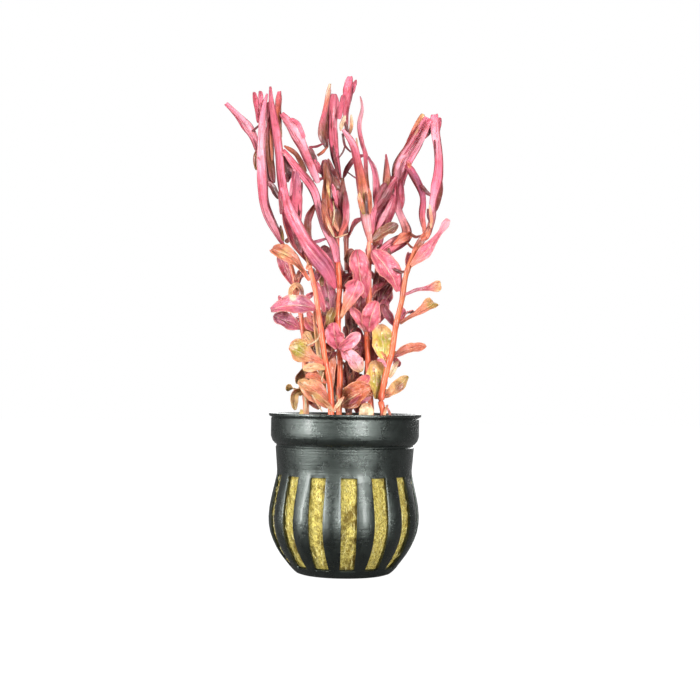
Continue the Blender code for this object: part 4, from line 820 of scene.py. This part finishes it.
def modify(obj, kind, **settings):
    """Add a modifier with its settings."""
    modifier = obj.modifiers.new(kind, kind)
    for key, value in settings.items():
        setattr(modifier, key, value)


def apply_modifiers(obj):
    pick(obj)
    for modifier in list(obj.modifiers):
        bpy.ops.object.modifier_apply(modifier=modifier.name)


def apply_place(obj):
    pick(obj)
    bpy.ops.object.transform_apply(location=True, rotation=True, scale=True)


def edit(obj, *steps):
    """Take steps in edit mode with the whole mesh selected."""
    pick(obj)
    bpy.ops.object.mode_set(mode="EDIT")
    bpy.ops.mesh.select_all(action="SELECT")
    for step in steps:
        step()
    bpy.ops.object.mode_set(mode="OBJECT")


def face_outwards():
    bpy.ops.mesh.normals_make_consistent(inside=False)


def poly_curve(name, lines, **settings):
    """A curve of straight runs. Each line is of (place in millimetres, radius, tilt)."""
    curve = bpy.data.curves.new(name, "CURVE")
    curve.dimensions = "3D"
    for key, value in settings.items():
        setattr(curve, key, value)
    for line in lines:
        points = curve.splines.new("POLY").points
        points.add(len(line) - 1)
        for point, (place, radius, tilt) in zip(points, line):
            point.co = (*(c * MM for c in place), 1)
            point.radius = radius
            point.tilt = tilt
    return added(name, curve)


def as_mesh(curve):
    pick(curve)
    bpy.ops.object.convert(target="MESH")
    return bpy.context.object


def tint_points(mesh, own, colour_at):
    """Store the colour at each point of a mesh, with the piece's own number beside it."""
    tint = mesh.color_attributes.new("tint", "FLOAT_COLOR", "POINT")
    for v in mesh.vertices:
        tint.data[v.index].color = (*colour_at(v.co), own)


def join(objects):
    """Join meshes into the first of them."""
    deselect()
    for obj in objects:
        obj.select_set(True)
    bpy.context.view_layer.objects.active = objects[0]
    bpy.ops.object.join()
    return objects[0]


def piece(obj, name, material, slot, *nodes):
    """Name a finished piece, give it its material, fix it to the root body and hide the CAD nodes it stands
    in for.
    """
    obj.name = name
    obj.data.name = name
    obj.data.materials.clear()
    obj.data.materials.append(material)
    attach(obj, "root")
    if nodes:
        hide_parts(*nodes)


def relief(name, scale, depth):
    texture = bpy.data.textures.new(name, "CLOUDS")
    texture.noise_scale = scale
    texture.noise_depth = depth
    return texture


def placed(point):
    """A drawn point (across, height, depth) at its real place, in millimetres."""
    across, height, depth = point
    near = 1 + depth / -EYE.y
    return Vector((EYE.x + (across - EYE.x) * near, depth, EYE.z + (height - EYE.z) * near))


def smooth_line(points, count):
    """Points evenly spaced along a smooth curve through the given ones."""
    ends = [2 * points[0] - points[1]] + points + [2 * points[-1] - points[-2]]
    fine = []
    steps = 12
    for a, b, c, d in zip(ends, ends[1:], ends[2:], ends[3:]):
        for k in range(steps):
            t = k / steps
            bend = 2 * a - 5 * b + 4 * c - d
            twist = -a + 3 * b - 3 * c + d
            fine.append((2 * b + (c - a) * t + bend * t**2 + twist * t**3) / 2)
    fine.append(points[-1])
    reach = [0.0]
    for p, q in zip(fine, fine[1:]):
        reach.append(reach[-1] + (q - p).length)
    line = []
    for i in range(count):
        target = reach[-1] * i / (count - 1)
        k = next((k for k in range(1, len(reach)) if reach[k] >= target), len(reach) - 1)
        share = (target - reach[k - 1]) / (reach[k] - reach[k - 1])
        line.append(fine[k - 1].lerp(fine[k], share))
    return line


def share_at(stops, t):
    """The value at t of (place, value) stops, or of evenly spaced values."""
    if not isinstance(stops[0], tuple):
        stops = [(i / (len(stops) - 1), value) for i, value in enumerate(stops)]
    for (t0, w0), (t1, w1) in zip(stops, stops[1:]):
        if t <= t1:
            return w0 + (w1 - w0) * (t - t0) / (t1 - t0)
    return stops[-1][1]


def blend_at(colours, t):
    """The colour at t along evenly spaced colours, in linear light."""
    at = min(max(t, 0.0), 1.0) * (len(colours) - 1)
    k = min(int(at), len(colours) - 2)
    return pigment(colours[k]).lerp(pigment(colours[k + 1]), at - k)


def flat_leaf(name, rows, columns):
    """A flat leaf blade one unit square, hollowed along its midrib, for copies to bend."""
    deselect()
    bpy.ops.mesh.primitive_grid_add(x_subdivisions=rows, y_subdivisions=columns, size=1)
    leaf = bpy.context.object
    leaf.name = name
    margin = leaf.vertex_groups.new(name="margin")
    for v in leaf.data.vertices:
        off_rib = 2 * abs(v.co.y)
        v.co.z = off_rib**2 * 0.5 - 0.12 * max(0.0, 1 - off_rib * 5)
        margin.add([v.index], off_rib**2, "REPLACE")
    return leaf


def bent_leaf(outline, width, turn, colours, marks, route, cup, upright=False):
    """One leaf: its blade is coloured flat, crinkled, bent along its route and thickened.

    Unless upright, it is bent lying on its back, front side up, and is then set on its feet.
    """
    line = smooth_line(route, STATIONS)
    length = sum((q - p).length for p, q in zip(line, line[1:]))
    broad = width > BROAD
    master = masters["broad" if broad else "narrow" if width > NARROW else "thread"]
    leaf = master.copy()
    leaf.data = master.data.copy()
    bpy.context.scene.collection.objects.link(leaf)

    def colour_at(place):
        t, s = place.x + 0.5, place.y + 0.5
        colour = blend_at(colours, t)
        for at, across, size, mark in marks:
            gap = math.hypot((t - at) * length, (s - across) * width) / (size * length)
            if gap < 1:
                colour = colour.lerp(pigment(mark), (1 - gap * gap) ** 0.7)
        return colour

    tint_points(leaf.data, random.random(), colour_at)
    true_width = width / math.cos(math.radians(turn))
    squeeze = 0.5 if broad else 0.3  # a short blade has its crinkles drawn out along the leaf
    aside = SPREAD * next(blades)
    leaf.scale = (length * squeeze * MM, true_width * MM, true_width * cup * MM)
    leaf.location = (0, aside, 0)
    apply_place(leaf)
    drawn = isinstance(outline, tuple)
    depth = (min(width, CRINKLED_WIDTH) if drawn else true_width) * CRINKLE * MM
    for texture, strength, group in (
            (folds, depth, ""), (crimps, depth * 0.7, "margin"), (pores, 0.14 * MM, "")):
        modify(leaf, "DISPLACE", texture=texture, texture_coords="GLOBAL", direction="Z",
               mid_level=0.5, strength=strength, vertex_group=group)
    apply_modifiers(leaf)
    leaf.data.transform(Matrix.Translation((0, -aside, 0)))
    widest = max(outline if drawn else [value for _, value in outline])
    sway = random.uniform(0, math.tau)
    stations = []
    for i, p in enumerate(line):
        share = share_at(outline, i / (STATIONS - 1)) / widest
        tilt = math.radians(turn + TILT_SWAY * math.sin(sway + i * 0.35))
        stations.append((p if upright else (p.x, p.z, -p.y), share, tilt))
    guide = poly_curve("guide", [stations], twist_mode="Z_UP", resolution_u=1, use_stretch=True,
                       use_deform_bounds=True, use_radius=True)
    modify(leaf, "CURVE", object=guide, deform_axis="POS_X")
    modify(leaf, "SOLIDIFY", thickness=BLADE * MM, offset=0)
    modify(leaf, "SUBSURF", levels=1, render_levels=1)
    apply_modifiers(leaf)
    bpy.data.objects.remove(guide)
    if not upright:
        leaf.rotation_euler = (math.radians(90), 0, 0)
        apply_place(leaf)
    leaf.vertex_groups.clear()
    leaf.data.shade_smooth()
    return leaf


def drawn_leaf(outline, width, turn, colours, marks, points, cup, reach=0):
    """A leaf whose points are drawn on the photograph's plane, run on at its base by reach."""
    route = [placed(p) for p in points]
    if reach:
        away = (route[0] - route[1]).normalized()
        route = [route[0] + away * reach] + route
    return bent_leaf(outline, width, turn, colours, marks, route, cup)


def strap_folds(outline, width, turn, points, edges):
    """The narrow folds that lie along a strap's left and right edges, just behind them."""
    line = smooth_line([placed(p) for p in points], FOLD_STATIONS)
    shares = [i / (FOLD_STATIONS - 1) for i in range(FOLD_STATIONS)]
    shape = tuple(share_at(FOLD, t) * share_at(outline, t) for t in shares)
    lean = math.tan(math.radians(turn))
    made = []
    for side, colour in zip((FOLD_ASIDE, -FOLD_ASIDE), edges):
        route = []
        for p, q, t in zip(line, line[1:], shares):
            run = (q - p).normalized()
            out = Vector((-run.z, 0, run.x)).normalized()
            aside = side * share_at(outline, t)
            route.append(p + out * aside + Vector((0, FOLD_BEHIND - aside * lean, 0)))
        shades = (colour, colour, PINK if random.random() < 0.5 else colour)
        made.append(bent_leaf(shape, width * FOLD_WIDTH, 30 * side, shades, [], route, 0.5))
    return made


def foliage_leaf(points, height, bearing, length, width, rise, colours):
    """A leaf that leaves its stem on a bearing, rises and then droops at its tip."""
    k = min(sum(z <= height for _, z, _ in points[1:]), len(points) - 2)
    (x0, z0, y0), (x1, z1, y1) = points[k], points[k + 1]
    share = (height - z0) / (z1 - z0)
    base = placed((x0 + (x1 - x0) * share, height, y0 + (y1 - y0) * share))
    a = math.radians(bearing)
    out = Vector((math.cos(a), math.sin(a), 0))
    up = Vector((0, 0, 1))
    route = [
        base + out * 0.6,
        base + out * length * 0.35 + up * (rise * 0.5 + 1.0),
        base + out * length * 0.7 + up * (rise * 0.9 + 1.2),
        base + out * length + up * rise,
    ]
    return bent_leaf(OVAL, width, 0, colours, [], route, 0.4, True)


def make_stem(name, colours, nodes, points):
    """A stem, thicker and darker at its nodes, tapering to its tip."""
    route = [placed(p) for p in points]
    foot = route[0]
    collar = Vector((foot.x, foot.y, STEM_COLLAR))
    line = smooth_line([collar] + route, STEM_STATIONS)
    line.insert(0, Vector((foot.x, foot.y, STEM_FOOT)))
    rings = [placed((0, z, foot.y)).z for z in nodes]

    def near_ring(z, reach):
        """1 at a node, falling to nothing past its reach."""
        return math.exp(-(min(abs(z - ring) for ring in rings) / reach) ** 2)

    def colour_at(place):
        z = place.z / MM
        colour = blend_at(colours, (z - line[1].z) / (line[-1].z - line[1].z))
        return colour.lerp(pigment(WINE), 0.55 * near_ring(z, 0.7))

    stations = [(p, (1 - 0.28 * i / len(line)) * (1 + 0.22 * near_ring(p.z, 0.9)), 0)
                for i, p in enumerate(line)]
    stem = as_mesh(poly_curve(name, [stations], twist_mode="Z_UP", resolution_u=1,
                              bevel_depth=STEM_RADIUS * MM, bevel_resolution=4, use_fill_caps=True))
    tint_points(stem.data, 0.5, colour_at)
    stem.data.shade_smooth()
    return stem


def turned(name, profile, segments):
    """A surface of revolution: a ring that is extruded and resized up the profile, then filled."""
    deselect()
    radius, height = profile[0]
    bpy.ops.mesh.primitive_circle_add(
        vertices=segments, radius=radius * MM, location=(0, 0, height * MM))
    obj = bpy.context.object
    obj.name = name

    def follow_profile():
        for (r0, z0), (r1, z1) in zip(profile, profile[1:]):
            bpy.ops.mesh.extrude_edges_move(
                TRANSFORM_OT_translate={"value": (0, 0, (z1 - z0) * MM)})
            share = r1 / r0
            bpy.ops.transform.resize(value=(share, share, 1), center_override=(0, 0, 0))

    edit(obj, follow_profile, bpy.ops.mesh.edge_face_add)
    apply_place(obj)
    return obj


def angle_in_period(point, count, phase):
    """Angle of a point from the middle of its nearest repeat, in degrees."""
    period = 360 / count
    angle = math.degrees(math.atan2(point.y, point.x)) - phase
    return (angle + period / 2) % period - period / 2


def inset(profile, distance):
    """A profile moved inwards by a distance, square to its own slope at each point."""
    moved = []
    for i, (r, z) in enumerate(profile):
        before = Vector(profile[max(i - 1, 0)])
        after = Vector(profile[min(i + 1, len(profile) - 1)])
        run = (after - before).normalized()
        moved.append((r + run.y * distance, z - run.x * distance))
    return moved


def finer(profile, step):
    """The same profile with no run longer than step."""
    fine = profile[:1]
    for (r0, z0), (r1, z1) in zip(profile, profile[1:]):
        count = max(1, math.ceil(math.hypot(r1 - r0, z1 - z0) / step))
        fine += [(r0 + (r1 - r0) * k / count, z0 + (z1 - z0) * k / count)
                 for k in range(1, count + 1)]
    return fine


def wall_radius(height):
    """The pot's outer radius at a height."""
    for (r0, z0), (r1, z1) in zip(BODY, BODY[1:]):
        if z1 <= height <= z0:
            return r1 + (r0 - r1) * (height - z1) / (z0 - z1)
    return BODY[0][0]


def slot_angle(height):
    """Half of a slot's angle at a height. Its width stays nearly the same all the way down."""
    share = (height - SLOT_FOOT) / (SLOT_TOP - SLOT_FOOT)
    half_width = SLOT_WIDTH / 2 * (0.9 + 0.1 * min(max(share, 0.0), 1.0))
    return math.degrees(math.asin(half_width / wall_radius(height)))


def even_slots(pot):
    """Turn the wall's points about the pot's axis until their columns run along the slots' sides."""
    middle, side = 180 / SLOTS, 90 / SLOTS
    for v in pot.data.vertices:
        at = v.co / MM
        beyond = max(at.z - SLOT_TOP, SLOT_FOOT - at.z, 0.0)
        if beyond > SLOT_FADE or on_floor(at):
            continue
        a = angle_in_period(at, SLOTS, SLOT_PHASE)
        half = slot_angle(at.z)
        if abs(a) <= side:
            to = a * half / side
        else:
            to = math.copysign(half + (abs(a) - side) * (middle - half) / (middle - side), a)
        share = 1 - beyond / SLOT_FADE
        v.co = Matrix.Rotation(math.radians((to - a) * share), 3, "Z") @ v.co


def on_floor(at):
    return at.z < 0.5


def in_opening(at):
    """Whether a place on the pot's skin is inside a slot of its wall or its floor."""
    if on_floor(at):
        aside = abs(angle_in_period(at, DRAINS, SLOT_PHASE + DRAIN_PHASE))
        return DRAIN_INNER < math.hypot(at.x, at.y) < DRAIN_OUTER and aside < DRAIN_SPREAD
    aside = abs(angle_in_period(at, SLOTS, SLOT_PHASE))
    return SLOT_FOOT < at.z < SLOT_TOP and aside < slot_angle(at.z)


def delete_faces(obj, inside):
    """Delete the faces whose middles inside() picks."""
    pick(obj)
    bpy.ops.object.mode_set(mode="EDIT")
    bpy.ops.mesh.select_mode(type="FACE")
    bpy.ops.mesh.select_all(action="DESELECT")
    bpy.ops.object.mode_set(mode="OBJECT")
    for face in obj.data.polygons:
        face.select = inside(face.center / MM)
    bpy.ops.object.mode_set(mode="EDIT")
    bpy.ops.mesh.delete(type="FACE")
    bpy.ops.object.mode_set(mode="OBJECT")


def make_pot():
    """The net pot: a lathed skin with its slots cut, thickened inwards and rounded."""
    walls = finer(LIP + BODY, 1.6)
    profile = walls + [(DRAIN_OUTER, 0.0), (DRAIN_INNER, 0.0), (0.4, 0.0)]
    pot = turned("pot_skin", profile, POT_SEGMENTS)
    pot.rotation_euler = (0, 0, math.radians(SLOT_PHASE))
    apply_place(pot)
    edit(pot, face_outwards)
    even_slots(pot)
    crown = pot.vertex_groups.new(name="crown")
    dips = pot.vertex_groups.new(name="dips")
    for v in pot.data.vertices:
        at = v.co / MM
        if math.hypot(at.x, at.y) < BODY[-1][0] + 0.5:
            continue
        rise = (at.z - SLOT_FOOT) / (SLOT_TOP - SLOT_FOOT)
        off_rib = abs(angle_in_period(at, SLOTS, SLOT_PHASE + 180 / SLOTS)) / (180 / SLOTS)
        if 0 < rise < 1:
            weight = math.sin(math.pi * rise) * max(0.0, 1 - (2 * off_rib) ** 2)
            crown.add([v.index], weight, "REPLACE")
        above = math.exp(-(((at.z - SLOT_TOP - 1.6) / 1.3) ** 2)) * off_rib**2
        dips.add([v.index], above, "REPLACE")
    for group, strength in ((crown, RIB_CROWN), (dips, SLOT_DIP)):
        modify(pot, "DISPLACE", direction="NORMAL", mid_level=0, strength=strength * MM,
               vertex_group=group.name)
    apply_modifiers(pot)
    delete_faces(pot, in_opening)
    modify(pot, "SOLIDIFY", thickness=WALL * MM, offset=-1, use_even_offset=True)
    modify(pot, "BEVEL", width=0.22 * MM, segments=2, limit_method="ANGLE",
           angle_limit=math.radians(50))
    apply_modifiers(pot)
    pick(pot)
    bpy.ops.object.shade_smooth_by_angle(angle=math.radians(35))
    pot.vertex_groups.clear()
    piece(pot, "look_pot", pot_finish(), "pot_plastic", "pot")


def make_rockwool():
    """The plug of mineral wool: rough, and pushed a little way out into the slots."""
    sides = [(r, z) for r, z in inset(BODY, WALL + 0.25)[:-1] if z < WOOL_TOP - 1]
    foot = WALL + 0.4
    profile = [(0.6, WOOL_TOP + 0.8), (14.0, WOOL_TOP + 0.4), (sides[0][0] - 1.0, WOOL_TOP)]
    profile += sides + [(BODY[-1][0] - 0.9, foot), (0.6, foot)]
    wool = turned("wool_skin", finer(profile, 1.0), WOOL_SEGMENTS)
    edit(wool, lambda: bpy.ops.mesh.fill_holes(sides=0), face_outwards)
    for name, size, strength in (("lumps", 0.0032, 1.1), ("tufts", 0.0009, 0.8)):
        modify(wool, "DISPLACE", texture=relief(name, size, 2), texture_coords="GLOBAL",
               direction="NORMAL", mid_level=0.6, strength=strength * MM)
    apply_modifiers(wool)
    wool.data.shade_smooth()
    piece(wool, "look_rockwool", wool_finish(), "rockwool", "rockwool")


def fibre(k):
    """A loose fibre across the k-th slot, bowed out of it: its four stations."""
    slot = SLOT_PHASE + 360 / SLOTS * (k % SLOTS) + random.uniform(-5, 5)
    z = random.uniform(SLOT_FOOT + 1.5, SLOT_TOP - 1)
    lean = random.uniform(-1, 1) * random.uniform(0.4, 2.4)
    stations = []
    for i in range(4):
        a = math.radians(slot + (i / 3 - 0.5) * lean * 2.4)
        height = z + (i / 3 - 0.5) * random.uniform(1.2, 3.2)
        radius = wall_radius(height) - WALL + 0.1 + 0.35 * math.sin(math.pi * i / 3)
        stations.append(((radius * math.cos(a), radius * math.sin(a), height), 1, 0))
    return stations


def make_fibres():
    """The loose fibres of the rockwool that stand out of it in the slots."""
    strands = poly_curve("fibres", [fibre(k) for k in range(FIBRES)],
                         bevel_depth=FIBRE_RADIUS * MM, bevel_resolution=0, use_fill_caps=True)
    piece(as_mesh(strands), "rockwool_fibres", fibre_finish(), "rockwool")


def soft_light(name, azimuth, height, distance, width, tall, power, aim):
    """An area light that faces the plant."""
    data = bpy.data.lights.new(name, "AREA")
    data.shape = "RECTANGLE"
    data.size = width
    data.size_y = tall
    data.energy = power
    light = added(name, data)
    a = math.radians(azimuth)
    light.location = (distance * math.sin(a), -distance * math.cos(a), height)
    target = Vector((0, 0, aim)) - light.location
    light.rotation_euler = target.to_track_quat("-Z", "Y").to_euler()


def studio_world():
    """Plain white behind the object, and a dimmer white that lights it."""
    world = bpy.data.worlds.new("studio")
    world.use_nodes = True
    seen = world.node_tree.nodes["Background"]
    lit = world.node_tree.nodes.new("ShaderNodeBackground")
    for node, strength in ((seen, BACKDROP_WHITE), (lit, ROOM_LIGHT)):
        fill(node, Color=(1, 1, 1, 1), Strength=strength)
    show_camera(world.node_tree, lit, seen, "World Output")
    bpy.context.scene.world = world


random.seed(7)
blades = itertools.count(1)
folds = relief("folds", 0.0015, 1)
crimps = relief("crimps", 0.0011, 1)
pores = relief("pores", 0.0005, 1)
masters = {
    "thread": flat_leaf("thread_blade", 16, 4),
    "narrow": flat_leaf("narrow_blade", 30, 8),
    "broad": flat_leaf("broad_blade", 26, 12),
}
# broad leaves: pale peach margins, a painted highlight
broad_leaf = leaf_finish("broad_leaf", 2.2, 0.34, PEACH, 0.26)
# wet straps: dark red margins, painted shade
wet_strap = leaf_finish("wet_strap", 1, 0.1, (132, 44, 48), 0.8)
stem_skin = stem_finish()

slots = {entry["node"]: entry["material_slot"] for entry in frame["record"]["subparts"]}
for name, outline, width, turn, colours, marks, points in LEAVES:
    cup = 0.35 if width > BROAD else 0.45
    reach = REACHES.get(name, BASE_REACH)
    parts = [drawn_leaf(outline, width, turn, colours, marks, points, cup, reach)]
    if name in EDGES:
        parts += strap_folds(outline, width, turn, points, EDGES[name])
    finish = wet_strap if name in EDGES or outline == STRAP else broad_leaf
    piece(join(parts), "look_" + name, finish, slots[name], name)
for name, colours, nodes, points in STEMS:
    stem = make_stem(name, colours, nodes, points)
    piece(stem, "look_" + name, stem_skin, slots[name], name)
for group, rows in EXTRAS.items():
    parts = [drawn_leaf(outline, width, turn, colours, [], points, 0.4)
             for outline, width, turn, colours, points in rows]
    finish = broad_leaf if group in ("low", "inner") else wet_strap
    piece(join(parts), "small_leaves_" + group, finish, "leaf_deep_pink")
for name, _, _, points in STEMS:
    parts = [foliage_leaf(points, *row) for row in FOLIAGE[name]]
    piece(join(parts), "foliage_" + name, broad_leaf, "leaf_deep_pink")
for master in masters.values():
    bpy.data.objects.remove(master)
make_pot()
make_rockwool()
make_fibres()

deselect()
bpy.ops.mesh.primitive_plane_add(size=4, location=(0, 0, -0.0001))
floor = bpy.context.object
floor.name = "floor"
floor.data.materials.append(floor_finish())

for light in LIGHTS:
    soft_light(*light)
studio_world()
bpy.context.scene.view_settings.view_transform = "Standard"

camera_data = bpy.data.cameras.new("photo_camera")
camera_data.lens = LENS
camera_data.sensor_width = 36.0
camera = added("photo_camera", camera_data)
camera.location = EYE * MM
looking = Matrix.Rotation(math.radians(90 + PITCH), 3, "X")
rolled = looking @ Matrix.Rotation(math.radians(ROLL), 3, "Z")
camera.rotation_euler = rolled.to_euler()
bpy.context.scene.camera = camera
